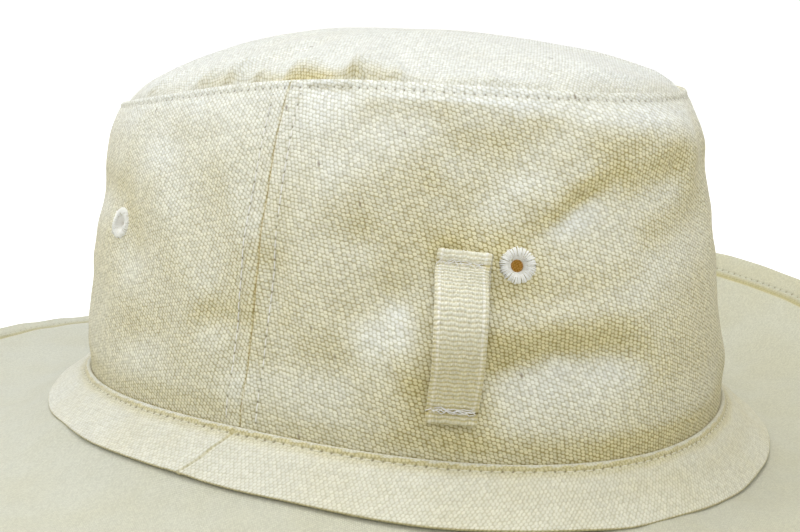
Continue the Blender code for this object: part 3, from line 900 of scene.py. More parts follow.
def rolled_section(upper, thickness, under=8):
    """A closed section round an upper line: a round edge at both ends and a plain underside."""
    way = directions(upper)
    inward = np.stack((-way[:, 1], way[:, 0]), axis=-1)
    if inward[len(upper) // 2][1] > 0.0:
        inward = -inward
    thickness = np.broadcast_to(thickness, (len(upper),))
    lower = upper + inward * thickness[:, None]
    turns = np.linspace(0.0, math.pi, EDGE_POINTS + 2)[1:-1]

    def round_end(place, ahead):
        middle = 0.5 * (upper[place] + lower[place])
        radius = 0.5 * thickness[place]
        up = -inward[place]
        return np.array([middle + radius * (up * math.cos(t) + ahead * math.sin(t)) for t in turns])

    picked = np.unique(np.linspace(0, len(upper) - 1, under + 2).round().astype(int))[::-1]
    tail = round_end(-1, way[-1])
    head = round_end(0, -way[0])[::-1]
    return np.vstack((upper, tail, lower[picked], head, upper[:1]))


def thread_piece(name, paths, radius, sides=1):
    """Short lengths of thread as one mesh of round, capped tubes. The radius is one number, or a
    row of numbers for each path."""
    line = bpy.data.curves.new(name, "CURVE")
    line.dimensions = "3D"
    line.bevel_depth = 1.0
    line.bevel_resolution = sides
    line.use_fill_caps = True
    line.resolution_u = 1
    for number, path in enumerate(paths):
        spline = line.splines.new("POLY")
        spline.points.add(len(path) - 1)
        data = np.hstack((np.asarray(path), np.ones((len(path), 1))))
        spline.points.foreach_set("co", data.astype(np.float32).ravel())
        width = np.full(len(path), radius) if np.isscalar(radius) else np.array(radius[number])
        width[[0, -1]] *= 0.7
        spline.points.foreach_set("radius", width.astype(np.float32))
        spline.use_smooth = True
    source = bpy.data.objects.new(name + "_line", line)
    bpy.context.scene.collection.objects.link(source)
    bpy.context.view_layer.update()
    solid = source.evaluated_get(bpy.context.evaluated_depsgraph_get())
    mesh = bpy.data.meshes.new_from_object(solid)
    bpy.data.objects.remove(source)
    bpy.data.curves.remove(line)
    mesh.name = name
    mesh.shade_smooth()
    piece = bpy.data.objects.new(name, mesh)
    bpy.context.scene.collection.objects.link(piece)
    return piece


def dress(piece, finish, slot, *nodes):
    """Gives a piece its finish, sets it on the hat and hides the frame's parts that it stands for.
    """
    piece.data.materials.clear()
    piece.data.materials.append(finish)
    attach(piece, "root")
    if nodes:
        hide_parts(*nodes)


# Finishes

class Wiring:
    """Short calls that add nodes to a tree and join them up."""

    def __init__(self, tree):
        self.tree = tree

    def put(self, kind, **settings):
        node = self.tree.nodes.new(kind)
        for key, value in settings.items():
            setattr(node, key, value)
        return node

    def feed(self, node, values):
        for key, value in values.items():
            socket = node.inputs[key]
            if isinstance(value, bpy.types.NodeSocket):
                self.tree.links.new(value, socket)
            else:
                socket.default_value = value

    def math(self, operation, first, second=None, third=None, clamp=False):
        node = self.put("ShaderNodeMath", operation=operation, use_clamp=clamp)
        for number, value in enumerate((first, second, third)):
            if value is not None:
                self.feed(node, {number: value})
        return node.outputs[0]

    def span(self, value, low, high, to_low=0.0, to_high=1.0, smooth=True):
        kind = "SMOOTHSTEP" if smooth else "LINEAR"
        node = self.put("ShaderNodeMapRange", interpolation_type=kind)
        self.feed(node, {"Value": value, "From Min": low, "From Max": high})
        self.feed(node, {"To Min": to_low, "To Max": to_high})
        return node.outputs["Result"]

    def noise(self, vector, scale, detail=2.0, roughness=0.5):
        node = self.put("ShaderNodeTexNoise")
        self.feed(node, {"Vector": vector, "Scale": scale})
        self.feed(node, {"Detail": detail, "Roughness": roughness})
        return node.outputs["Fac"]

    def mix(self, factor, first, second, blend_type="MIX"):
        node = self.put("ShaderNodeMix", data_type="RGBA", blend_type=blend_type)
        self.feed(node, {0: factor, 6: first, 7: second})
        return node.outputs[2]

    def moved(self, vector, offset):
        node = self.put("ShaderNodeVectorMath", operation="ADD")
        self.feed(node, {0: vector, 1: offset})
        return node.outputs[0]

    def scaled(self, vector, factor):
        node = self.put("ShaderNodeVectorMath", operation="SCALE")
        self.feed(node, {0: vector, "Scale": factor})
        return node.outputs[0]

    def parts(self, vector):
        node = self.put("ShaderNodeSeparateXYZ")
        self.feed(node, {0: vector})
        return node.outputs

    def bump(self, height, distance=1.0, strength=1.0):
        node = self.put("ShaderNodeBump")
        self.feed(node, {"Strength": strength, "Distance": distance, "Height": height})
        return node.outputs[0]

    def group(self, name, build, **values):
        """Places a shared group, which is built where it is used first."""
        node = self.put("ShaderNodeGroup", node_tree=bpy.data.node_groups.get(name) or build())
        self.feed(node, values)
        return node.outputs


def new_group(name, inputs, outputs):
    """An empty node group with named inputs and outputs."""
    tree = bpy.data.node_groups.new(name, "ShaderNodeTree")
    for title, kind, value in inputs:
        socket = tree.interface.new_socket(title, in_out="INPUT", socket_type=kind)
        if value is not None:
            socket.default_value = value
    for title, kind in outputs:
        tree.interface.new_socket(title, in_out="OUTPUT", socket_type=kind)
    wiring = Wiring(tree)
    return wiring, wiring.put("NodeGroupInput").outputs, wiring.put("NodeGroupOutput")


def weave_group():
    """Close canvas weave, where each upright yarn shows as a column of round floats and the
    columns stand half a float apart: height, gaps between the floats, and their own tones. The yarn
    is twisted, so each float lies a little slanted."""
    wire, given, result = new_group(
        "Canvas Weave",
        (
            ("Vector", "NodeSocketVector", None),
            ("Column", "NodeSocketFloat", 0.001),
            ("Float", "NodeSocketFloat", 0.001),
            ("Sway", "NodeSocketFloat", 0.0003),
            ("Scatter", "NodeSocketFloat", 0.0002),
        ),
        (("Height", "NodeSocketFloat"), ("Gap", "NodeSocketFloat"), ("Tone", "NodeSocketFloat")),
    )
    place = given["Vector"]
    parts = wire.parts(place)
    sway_x = wire.math("SUBTRACT", wire.noise(place, 150.0, 2.0), 0.5)
    sway_y = wire.math("SUBTRACT", wire.noise(wire.moved(place, (3.1, 1.7, 0.4)), 190.0, 2.0), 0.5)
    x = wire.math("MULTIPLY_ADD", sway_x, given["Sway"], parts[0])
    y = wire.math("MULTIPLY_ADD", sway_y, given["Sway"], parts[1])
    u = wire.math("DIVIDE", x, given["Column"])
    v = wire.math("DIVIDE", y, given["Float"])
    left = wire.math("FLOOR", u)

    def column(number):
        offset = wire.math("MULTIPLY", wire.math("FLOORED_MODULO", number, 2.0), 0.5)
        along = wire.math("SUBTRACT", v, offset)
        step = wire.math("ROUND", along)
        cell = wire.put("ShaderNodeCombineXYZ")
        wire.feed(cell, {0: number, 1: step})
        pick = wire.put("ShaderNodeTexWhiteNoise", noise_dimensions="2D")
        wire.feed(pick, {"Vector": cell.outputs[0]})
        picks = wire.parts(pick.outputs["Color"])
        away_x = wire.math("MULTIPLY", wire.math("SUBTRACT", u, number), given["Column"])
        away_y = wire.math("MULTIPLY", wire.math("SUBTRACT", along, step), given["Float"])
        off_x = wire.math("SUBTRACT", picks[0], 0.5)
        off_y = wire.math("SUBTRACT", picks[1], 0.5)
        away_x = wire.math("MULTIPLY_ADD", off_x, given["Scatter"], away_x)
        away_y = wire.math("MULTIPLY_ADD", off_y, given["Scatter"], away_y)
        away_x = wire.math("DIVIDE", away_x, given["Column"])
        away_y = wire.math("DIVIDE", away_y, given["Float"])
        leaning = wire.math("MULTIPLY", away_y, FLOAT_ALONG[1])
        along_float = wire.math("MULTIPLY_ADD", away_x, FLOAT_ALONG[0], leaning)
        leaning = wire.math("MULTIPLY", away_y, FLOAT_ACROSS[1])
        over_float = wire.math("MULTIPLY_ADD", away_x, FLOAT_ACROSS[0], leaning)
        along_sq = wire.math("MULTIPLY", along_float, along_float)
        away = wire.math("MULTIPLY_ADD", over_float, over_float, along_sq)
        dome = wire.math("SQRT", wire.math("MAXIMUM", wire.math("SUBTRACT", 1.0, away), 0.0))
        dome = wire.math("MULTIPLY", dome, wire.math("MULTIPLY_ADD", picks[2], 0.22, 0.80))
        return dome, picks[2]

    first, first_tone = column(left)
    second, second_tone = column(wire.math("ADD", left, 1.0))
    height = wire.math("MAXIMUM", first, second)
    upper = wire.math("GREATER_THAN", second, first)
    step = wire.math("SUBTRACT", second_tone, first_tone)
    tone = wire.math("ADD", first_tone, wire.math("MULTIPLY", upper, step))
    wire.feed(result, {"Height": height, "Gap": wire.span(height, 0.80, 0.12), "Tone": tone})
    return wire.tree


def flecks_group():
    """Tiny dark seed flecks, scattered through unbleached cotton."""
    wire, given, result = new_group(
        "Seed Flecks",
        (
            ("Vector", "NodeSocketVector", None),
            ("Spacing", "NodeSocketFloat", 0.004),
            ("Size", "NodeSocketFloat", 0.0002),
        ),
        (("Mask", "NodeSocketFloat"),),
    )
    stretch = wire.put("ShaderNodeVectorMath", operation="MULTIPLY")
    wire.feed(stretch, {0: given["Vector"], 1: (1.0, 0.55, 1.0)})
    cells = wire.put("ShaderNodeTexVoronoi", feature="F1")
    scale = wire.math("DIVIDE", 1.0, given["Spacing"])
    wire.feed(cells, {"Vector": stretch.outputs[0], "Scale": scale, "Randomness": 1.0})
    picked = wire.parts(cells.outputs["Color"])
    far = wire.math("MULTIPLY", cells.outputs["Distance"], given["Spacing"])
    edge = wire.math("MULTIPLY", given["Size"], wire.math("ADD", picked[1], 0.35))
    spot = wire.math("SUBTRACT", 1.0, wire.math("DIVIDE", far, edge), clamp=True)
    kept = wire.math("LESS_THAN", picked[0], 0.4)
    wire.feed(result, {"Mask": wire.math("MULTIPLY", wire.math("POWER", spot, 0.5), kept)})
    return wire.tree


def needle_group():
    """A row of needle holes: the first coordinate runs along the row, the second across it."""
    wire, given, result = new_group(
        "Needle Rows",
        (
            ("Vector", "NodeSocketVector", None),
            ("Pitch", "NodeSocketFloat", 0.0027),
            ("Hole", "NodeSocketFloat", 0.0004),
        ),
        (("Hole", "NodeSocketFloat"), ("Height", "NodeSocketFloat"), ("Groove", "NodeSocketFloat")),
    )
    along, across, _ = wire.parts(given["Vector"])
    step = wire.math("DIVIDE", along, given["Pitch"])
    share = wire.math("SUBTRACT", wire.math("FRACT", step), 0.5)
    along = wire.math("MULTIPLY", share, given["Pitch"])
    along_sq = wire.math("MULTIPLY", along, along)
    across_sq = wire.math("MULTIPLY", across, across)
    away = wire.math("SQRT", wire.math("ADD", along_sq, across_sq))
    tone = wire.put("ShaderNodeTexWhiteNoise", noise_dimensions="1D")
    wire.feed(tone, {"W": wire.math("FLOOR", step)})
    size = wire.math("MULTIPLY_ADD", tone.outputs["Value"], 0.5, 0.75)
    away = wire.math("DIVIDE", away, wire.math("MULTIPLY", given["Hole"], size))
    groove = wire.span(wire.math("ABSOLUTE", across), 0.0013, 0.0003)
    wire.feed(result, {"Hole": wire.span(away, 1.35, 0.5), "Groove": groove})
    wire.feed(result, {"Height": wire.span(away, 0.3, 2.8, -1.0, 0.0)})
    return wire.tree


def shade_group():
    """Paints shade into a colour: warms and darkens it as far as the painted shade asks, and lets
    it vary softly over the surface.
    """
    wire, given, result = new_group(
        "Soft Shade",
        (
            ("Colour", "NodeSocketColor", (0.8, 0.8, 0.8, 1.0)),
            ("Warm", "NodeSocketColor", (0.9, 0.8, 0.6, 1.0)),
            ("Hollow", "NodeSocketFloat", 0.0),
            ("Vector", "NodeSocketVector", None),
        ),
        (("Colour", "NodeSocketColor"),),
    )
    patch = wire.span(wire.noise(given["Vector"], 38.0, 3.0, 0.6), 0.3, 0.7, -0.07, 0.08)
    factor = wire.math("ADD", given["Hollow"], patch, clamp=True)
    shaded = wire.mix(factor, given["Colour"], given["Warm"], "MULTIPLY")
    wire.feed(result, {"Colour": shaded})
    return wire.tree


def rgba(colour):
    return (*colour, 1.0)


def new_finish(name, colour):
    """A finish of that colour, its wiring and its shader."""
    made = bpy.data.materials.new(name)
    made.use_nodes = True
    made.diffuse_color = rgba(colour)
    return made, Wiring(made.node_tree), made.node_tree.nodes["Principled BSDF"]


def cloth_finish(
    name, colour, gap, column, length, depth, rows=True, coarse=True, gap_share=0.85, glow=None
):
    """A woven cloth: yarns, flecks, painted shade in the gaps between the yarns, and painted shade
    that warms and darkens it where little light reaches.
    """
    colours = bpy.context.scene.cricket_hat_colours
    sizes = bpy.context.scene.cricket_hat_sizes
    made, wire, shader = new_finish(name, colour)
    place = wire.put("ShaderNodeUVMap", uv_map="cloth").outputs[0]
    yarn = {"Column": column, "Float": length}
    loose = {"Sway": YARN_SWAY * column, "Scatter": YARN_SCATTER * column}
    weave = wire.group("Canvas Weave", weave_group, Vector=place, **yarn, **loose)
    painted_shade = wire.put("ShaderNodeAttribute", attribute_name="painted_shade").outputs["Fac"]
    # Painted shade in the gaps between the yarns, stronger where the painted shade of the place is
    # higher
    deep = wire.math("MULTIPLY_ADD", painted_shade, 0.7 * gap_share, 0.55 * gap_share)
    deep = wire.math("MULTIPLY", weave["Gap"], deep, clamp=True)
    base = wire.mix(deep, rgba(colour), rgba(gap))
    tone = wire.span(weave["Tone"], 0.0, 1.0, 0.88 if coarse else 0.94, 1.06, smooth=False)
    lit = wire.scaled(base, tone)
    # Painted shade over the whole cloth, from the shade attribute
    shade_tint = rgba(shade / plain for shade, plain in zip(colours.canvas_shade, colours.canvas))
    shaded = wire.group(
        "Soft Shade", shade_group, Colour=lit, Warm=shade_tint, Hollow=painted_shade, Vector=place
    )
    spacing, size = (0.0048, 0.0004) if coarse else (0.012, 0.0003)
    flecks = wire.group("Seed Flecks", flecks_group, Vector=place, Spacing=spacing, Size=size)
    base = wire.mix(wire.math("MULTIPLY", flecks["Mask"], 0.75), shaded["Colour"], FLECK)
    height = wire.math("MULTIPLY", weave["Height"], depth)
    if rows:
        line = wire.put("ShaderNodeUVMap", uv_map="rows").outputs[0]
        pitch = sizes.stitch_pitch
        needle = wire.group("Needle Rows", needle_group, Vector=line, Pitch=pitch, Hole=NEEDLE_SIZE)
        # Painted shade in the groove of each row of stitches and in its needle holes
        base = wire.mix(wire.math("MULTIPLY", needle["Groove"], 0.12), base, rgba(gap))
        base = wire.mix(wire.math("MULTIPLY", needle["Hole"], 0.72), base, NEEDLE_HOLE_SHADE)
        height = wire.math("ADD", height, wire.math("MULTIPLY", needle["Height"], 0.0003))
    wire.feed(shader, {"Base Color": base, "Normal": wire.bump(height)})
    wire.feed(shader, {"Roughness": 0.95, "Specular IOR Level": 0.2, "Sheen Weight": 0.25})
    # A painted glow, where one is asked for
    if glow is not None:
        wire.feed(shader, {"Emission Color": rgba(glow), "Emission Strength": 1.0})
    return made


def canvas_finish(name, shade_dimming=1.0, **choices):
    """The canvas of the crown and the ring. Where its colour is scaled below 1, the darker copy is
    painted shade.
    """
    colours = bpy.context.scene.cricket_hat_colours
    sizes = bpy.context.scene.cricket_hat_sizes
    canvas = [shade_dimming * part for part in colours.canvas]
    yarn = (sizes.yarn_column, sizes.yarn_float, WEAVE_DEPTH)
    return cloth_finish(name, canvas, colours.canvas_gap, *yarn, **choices)


def thread_finish(name, colour):
    """Twisted thread: fine fibres, and a tone that changes a little from strand to strand."""
    made, wire, shader = new_finish(name, colour)
    place = wire.put("ShaderNodeTexCoord").outputs["Object"]
    fibres = wire.noise(place, THREAD_FIBRES, 3.0, 0.6)
    patches = wire.noise(place, THREAD_PATCHES, 2.0, 0.5)
    tone = wire.math("MULTIPLY_ADD", fibres, 0.22, 0.80)
    tone = wire.math("MULTIPLY", tone, wire.math("MULTIPLY_ADD", patches, 0.20, 0.92))
    twist = wire.bump(fibres, 0.00006, 0.6)
    wire.feed(shader, {"Base Color": wire.scaled(tuple(colour), tone), "Normal": twist})
    wire.feed(shader, {"Roughness": 0.7, "Sheen Weight": 0.2})
    return made


def tape_finish(name, colour):
    """Webbing: thick weft ribs with a bead of warp at every crossing, and firm selvedges."""
    made, wire, shader = new_finish(name, colour)
    sizes = bpy.context.scene.cricket_hat_sizes
    place = wire.put("ShaderNodeUVMap", uv_map="cloth").outputs[0]
    yarn = {"Column": 0.00052, "Float": sizes.tape_rib, "Sway": 0.0002, "Scatter": 0.0001}
    weave = wire.group("Canvas Weave", weave_group, Vector=place, **yarn)
    # The tape's painted shade: its rib valleys, recess, edges and lower half darker, its slits
    # darkest
    relief = wire.put("ShaderNodeAttribute", attribute_name="painted_shade").outputs["Fac"]
    across = wire.math("ABSOLUTE", wire.parts(place)[0])
    from_line = wire.math("SUBTRACT", across, 0.5 * LOOP_WIDTH - TAPE_LINE_INSET)
    line = wire.span(wire.math("ABSOLUTE", from_line), 0.00042, 0.00012)
    specks = wire.group("Seed Flecks", flecks_group, Vector=place, Spacing=0.0011, Size=0.0003)
    # Painted shade in the gaps between the tape's yarns
    base = wire.mix(wire.math("MULTIPLY", weave["Gap"], 0.30), rgba(colour), TAPE_GAP_SHADE)
    base = wire.mix(wire.math("MULTIPLY", specks["Mask"], 0.40), base, TAPE_SPECK)
    base = wire.mix(wire.math("MULTIPLY", line, 0.7), base, TAPE_LINE)
    base = wire.mix(wire.math("MULTIPLY", relief, 0.80, clamp=True), base, TAPE_VALLEY_SHADE)
    base = wire.mix(wire.span(relief, 0.92, MOST_PAINTED_SHADE, 0.0, 0.75), base, TAPE_SLIT_SHADE)
    tone = wire.span(weave["Tone"], 0.0, 1.0, 0.9, 1.06, smooth=False)
    ribs = wire.bump(weave["Height"], 0.00011)
    wire.feed(shader, {"Base Color": wire.scaled(base, tone), "Normal": ribs})
    wire.feed(shader, {"Roughness": 0.85, "Sheen Weight": 0.15})
    return made


# Stitches

def stitch_paths(line, outward, run, pitch, radius, seed, sink=0.35):
    """Stitches along a line on the cloth, whose own length is run. Each dips into a needle hole at
    both of its ends."""
    pick = np.random.default_rng(seed)
    arch = np.sin(np.linspace(0.0, math.pi, STITCH_POINTS)) ** 0.6
    paths = []
    for number in range(math.ceil(run[0] / pitch), int(run[-1] / pitch)):
        start = (number + 0.5) * pitch + 0.12 * pitch
        end = (number + 1.5) * pitch - 0.12 * pitch
        if end > run[-1]:
            break
        where = np.linspace(start, end, STITCH_POINTS)
        rise = arch * (radius * 0.75 + pick.normal() * radius * 0.1) - radius * sink
        paths.append(points_at(where, run, line) + points_at(where, run, outward) * rise[:, None])
    return paths


def sewn_row(name, points, normals, values, target, run, seed, colour, warm):
    """A row of stitches on a grid of points, where the values in each column reach the target. The
    share warm brings the thread from its colour toward the painted shade colour of the cloth round
    it."""

    def at_target(grid):
        columns = range(points.shape[1])
        return np.array([points_at(target, values[:, c], grid[:, c]) for c in columns])

    line = at_target(points)
    outward = at_target(normals)
    outward /= np.linalg.norm(outward, axis=1, keepdims=True)
    sizes = bpy.context.scene.cricket_hat_sizes
    radius = sizes.thread_radius
    paths = stitch_paths(line, outward, run, sizes.stitch_pitch, radius, seed, sink=1.0)
    piece = thread_piece(name, paths, radius)
    shade = bpy.context.scene.cricket_hat_colours.canvas_shade
    toned = [blend(plain, min(plain, deep), warm) for plain, deep in zip(colour, shade)]
    dress(piece, thread_finish(name + "_thread", toned), "thread")


# Crown

def panel_relief(below_top, nearest):
    """Relief of a side panel: felled seams at its two ends, and the ridge under the top seam."""
    step = 0.00045 * smooth_step(1.0 - (nearest - SEAM_ROW) / 0.0015)
    drawn_in = 0.00025 * bump_at(nearest - SEAM_ROW, 0.0007)
    joint = 0.00032 * bump_at(nearest, 0.00030)
    ridge = 0.00034 * bump_at(below_top - 0.0006, 0.0006)
    top_drawn_in = 0.00014 * bump_at(below_top - TOP_ROW, 0.0007)
    return step - drawn_in - joint + ridge - top_drawn_in


def eyelet_places():
    """Name, angle and height share of each eyelet."""
    return (
        ("eyelet_right_front", EYELET_FRONT_ANGLE, EYELET_FRONT_SHARE),
        ("eyelet_right_back", EYELET_BACK_ANGLE, EYELET_BACK_SHARE),
        ("eyelet_left_front", -EYELET_FRONT_ANGLE, EYELET_FRONT_SHARE),
        ("eyelet_left_back", FULL_TURN - EYELET_BACK_ANGLE, EYELET_BACK_SHARE),
    )


def near_loop(angle, share):
    """Shade beside the webbing loop, as a share of full shade."""
    path = np.clip((LOOP_TOP_SHARE - share) / (LOOP_TOP_SHARE - LOOP_FOOT_SHARE), -0.1, 1.1)
    middle = blend(LOOP_TOP_ANGLE, LOOP_FOOT_ANGLE, path)
    away = np.abs(base_arc(angle) - base_arc(middle)) * shrink(share)
    above = np.maximum(share - LOOP_TOP_SHARE, LOOP_FOOT_SHARE - share) * CROWN_HEIGHT
    beside = np.maximum(away - 0.5 * LOOP_WIDTH, 0.0)
    return bump_at(np.hypot(beside, np.maximum(above, 0.0)), LOOP_SHADE_REACH)


def panel_painted_shade(angle, share, points):
    """Painted shade of each place of the crown's side, from the light the lamps send to it and from
    what shades it.
    """
    level = lamp_shade(crown_wall(angle, share, -fold_depth(angle, share)))
    folded = lamp_shade(crown_wall(angle, share))
    painted_shade = level + FOLD_SHADE * (folded - level) + FINE_SHADE * (lamp_shade(points) - folded)
    painted_shade = painted_shade + LOOP_SHADE * near_loop(angle, share)
    painted_shade = painted_shade - FOOT_LIGHT * smooth_step((FOOT_REACH - share) / FOOT_REACH)
    for tight in BASE_SHADES:
        low = tight.depth * bump_at(share, BASE_SHADE_REACH)
        painted_shade = painted_shade + low * bump_at(around(angle, tight.angle), tight.width)
    painted_shade = painted_shade * (1.0 - FAR_SIDE_LIGHT * bump_at(around(angle, FAR_SIDE), FAR_SIDE_WIDTH))
    for _, eye_angle, eye_share in eyelet_places():
        across = (base_arc(angle) - base_arc(eye_angle)) * shrink(share)
        away = np.hypot(across, (share - eye_share) * CROWN_HEIGHT)
        painted_shade = painted_shade + EYELET_SHADE * bump_at(away, EYELET_SHADE_REACH)
    return 0.5 * (painted_shade + np.sqrt(painted_shade**2 + 0.01))


def panel_grid(ends, middle_angle, cell):
    """Angles, height shares and distances over a side panel, from its top down."""
    middle = base_arc(middle_angle)
    half = base_arc(middle_angle + 88.0) - middle
    columns = spaced(SEAM_STRETCH, (2.0 * half - 2.0 * SEAM_STRETCH[0], cell), SEAM_STRETCH)
    columns = columns / columns[-1]
    rows = spaced(TOP_STRETCH, (CROWN_HEIGHT - TOP_STRETCH[0], cell), (CROWN_TUCK, TUCK_CELL))
    share = 1.0 - rows / CROWN_HEIGHT
    share, across = np.meshgrid(share, columns, indexing="ij")
    start, end = ends(np.clip(share, 0.0, 1.0))
    arc = blend(base_arc(start), base_arc(end), across)
    return arc_angle(arc), share, arc, base_arc(start), base_arc(end)


def side_panel(name, node, ends, middle_angle, finish, inside):
    """Half of the crown's side, with felled seams at both ends."""
    sizes = bpy.context.scene.cricket_hat_sizes
    angle, share, arc, start, end = panel_grid(ends, middle_angle, sizes.cell)
    on_wall = np.clip(share, 0.0, 1.0)
    nearest = np.minimum((arc - start) * shrink(on_wall), (end - arc) * shrink(on_wall))
    below_top = (1.0 - share) * CROWN_HEIGHT
    above_base = share * CROWN_HEIGHT
    quiet = smooth_step(above_base / 0.010) * smooth_step(below_top / 0.006)
    relief = panel_relief(below_top, nearest)
    relief = relief + quiet * ripples(crown_wall(angle, share), SIDE_RIPPLES)
    points = crown_wall(angle, share, relief)
    cone = PERIMETER / (2.0 * math.pi) / CROWN_SLOPE
    turn = (arc - base_arc(middle_angle)) / cone
    out = cone - above_base
    cloth = np.stack((out * np.sin(turn), cone - out * np.cos(turn)), axis=-1)
    top_row = np.stack((arc * shrink(1.0), below_top - TOP_ROW), axis=-1)
    seam_row = np.stack((above_base, nearest - SEAM_ROW), axis=-1)
    use_seam = (nearest[:-1, :-1] < 0.008) & (below_top[:-1, :-1] > 0.0032)
    holes = [Vector(crown_wall(np.array(turn), np.array(up))) for _, turn, up in eyelet_places()]

    def in_hole(place):
        return any((place - hole).length < EYELET_CUT for hole in holes)

    # Painted shade from the lamps and round the loop and the eyelets, and more painted shade along
    # each seam line
    piece = cloth_piece(
        name,
        points,
        {"cloth": cloth, "rows": (top_row, seam_row, use_seam)},
        painted_shade=panel_painted_shade(angle, on_wall, points) + SEAM_SHADE * bump_at(nearest, 0.0003),
        wall=CROWN_CLOTH,
        drop_faces=in_hole,
    )
    dress(piece, finish, "crown_canvas", node)
    piece.data.materials.append(inside)
    piece.modifiers["cloth"].material_offset = 1
    run = arc[0] * shrink(1.0)
    sewn_row(
        name + "_top_stitches", points, outward_of(points), below_top, TOP_ROW, run,
        seed=7, colour=finish.diffuse_color[:3], warm=0.3,
    )


class CRICKETHAT_OT_crown_sides(bpy.types.Operator):
    """Sew the front and the back half of the crown's side"""

    bl_idname = "cricket_hat.crown_sides"
    bl_label = "Crown Sides"

    def execute(self, context):
        finish = canvas_finish("crown_canvas")
        # The inside of the crown's side glows with a painted warm light, which shows through the
        # eyelets' holes
        inside = canvas_finish("crown_inside_canvas", rows=False, glow=PAINTED_INSIDE_GLOW)
        side_panel("crown_front_panel", "crown_side_front", front_ends, 0.0, finish, inside)
        side_panel("crown_back_panel", "crown_side_back", back_ends, 180.0, finish, inside)
        return {"FINISHED"}


class CRICKETHAT_OT_crown_tip(bpy.types.Operator):
    """Sew the domed tip, gathered along the top seam"""

    bl_idname = "cricket_hat.crown_tip"
    bl_label = "Crown Tip"

    def execute(self, context):
        across = np.linspace(0.0, FULL_TURN, TIP_COLUMNS)
        rows = np.concatenate((np.linspace(0.0, 0.78, 44), np.linspace(0.78, 1.0, 44)[1:]))
        share, angle = np.meshgrid(rows, across, indexing="ij")
        points = tip_dome(angle, share)
        quiet = smooth_step((1.0 - share) / TIP_QUIET_RIM)
        points[..., 2] += quiet * ripples(points, TIP_RIPPLES)
        from_rim = (1.0 - share) * 0.5 * (TOP_HALF_LENGTH + TOP_HALF_WIDTH)
        pleated = smooth_step(from_rim / 0.003) * smooth_step((0.020 - from_rim) / 0.016)
        pleats = sum(p.height * bump_at(around(angle, p.angle), p.width) for p in TIP_PLEATS)
        tucks = sum(t.depth * bump_at(around(angle, t.angle), t.width) for t in TIP_TUCKS)
        crest = 0.8 * bump_at(from_rim - 0.0085, 0.0055)
        groove = 0.2 * bump_at(from_rim - 0.0022, 0.0020)
        points[..., 2] += PLEAT_FULLNESS * pleats * pleated
        points[..., 2] += tucks * (crest - groove)
        step = np.linalg.norm(np.diff(points, axis=0), axis=-1)
        length = np.concatenate((np.zeros((1, step.shape[1])), np.cumsum(step, axis=0)))
        radial = points[-1:, :, :2] - np.array((CROWN_LEAN_LEFT, CROWN_LEAN_BACK))
        way = radial / np.linalg.norm(radial, axis=-1, keepdims=True)
        cloth = way * length[..., None]
        drawn_in = 0.0011 * smooth_step((share - 0.90) / 0.10)
        drawn_down = 0.0006 * smooth_step((share - 0.97) / 0.03)
        points[..., :2] -= way * drawn_in[..., None]
        points[..., 2] -= drawn_down
        # Painted shade on the tip: from the lamps, and along its rim, deepest over the tucks
        shade = TIP_RIM_SHADE + TUCK_SHADE * tucks
        painted_shade = lamp_shade(points) + shade * bump_at(from_rim - 0.0012, 0.0040)
        turned = np.array(TURNED_EDGE)[:, None]
        low = 1.0 - turned / CROWN_HEIGHT + 0.0 * across
        inside = crown_wall(across + 0.0 * turned, low, -CROWN_CLOTH - TURNED_CLEARANCE)
        points = np.concatenate((points, inside))
        cloth = np.concatenate((cloth, cloth[-1:] + way * turned[..., None]))
        painted_shade = np.concatenate((painted_shade, np.repeat(painted_shade[-1:], len(turned), axis=0)))
        piece = cloth_piece(
            "crown_tip_cloth",
            points,
            {"cloth": cloth},
            painted_shade=painted_shade,
            joined=True,
            wall=CROWN_CLOTH,
        )
        # The tip's canvas is the crown's canvas made darker, as painted shade
        finish = canvas_finish("tip_canvas", shade_dimming=0.93, rows=False, gap_share=0.75)
        dress(piece, finish, "crown_canvas", "crown_tip")
        return {"FINISHED"}


# Brim

def ring_section(arc, start, upper_share):
    """Section of the ring at one place on the way round, from the crown outwards and back under
    it: the angle of each point, the points, and the distance over the cloth."""
    from_joint = min(arc, PERIMETER - arc)
    angle = start + RING_JOINT_SKEW * 0.5
    reach = ring_reach(angle)
    drop = ring_drop(angle)
    stand = RING_CLOTH - RING_PRESS
    line = [(stand, -0.0008)]
    line.extend((blend(stand, reach, row.reach), -drop * row.drop) for row in RING_SECTION[2:])
    line = smooth_curve(line, upper_share)
    way = directions(line)
    out = np.stack((-way[:, 1], way[:, 0]), axis=-1)
    length = lengths_along(line)
    groove = 0.00020 * bump_at(length - RING_ROW, 0.0006)
    swell = 0.00045 * bump_at(length - 0.0055, 0.004)
    pressed = 0.00035 * smooth_step((length - length[-1] + 0.005) / 0.005)
    doubled = 0.00025 * smooth_step(1.0 - (from_joint - 0.004) / 0.0012)
    joint = 0.0006 * bump_at(from_joint, 0.00035)
    relief = swell - groove - pressed + doubled - joint
    line = line + out * relief[:, None]
    thin = smooth_step((length - length[-1] + 0.006) / 0.006)
    section = rolled_section(line, blend(RING_CLOTH, 0.0009, thin))
    share = np.clip((section[:, 0] - stand) / (reach - stand), 0.0, 1.0)
    back = np.linspace(0.0, length[-1], len(section) - len(length))
    return start + RING_JOINT_SKEW * share, section, np.concatenate((length, length[-1] + back))


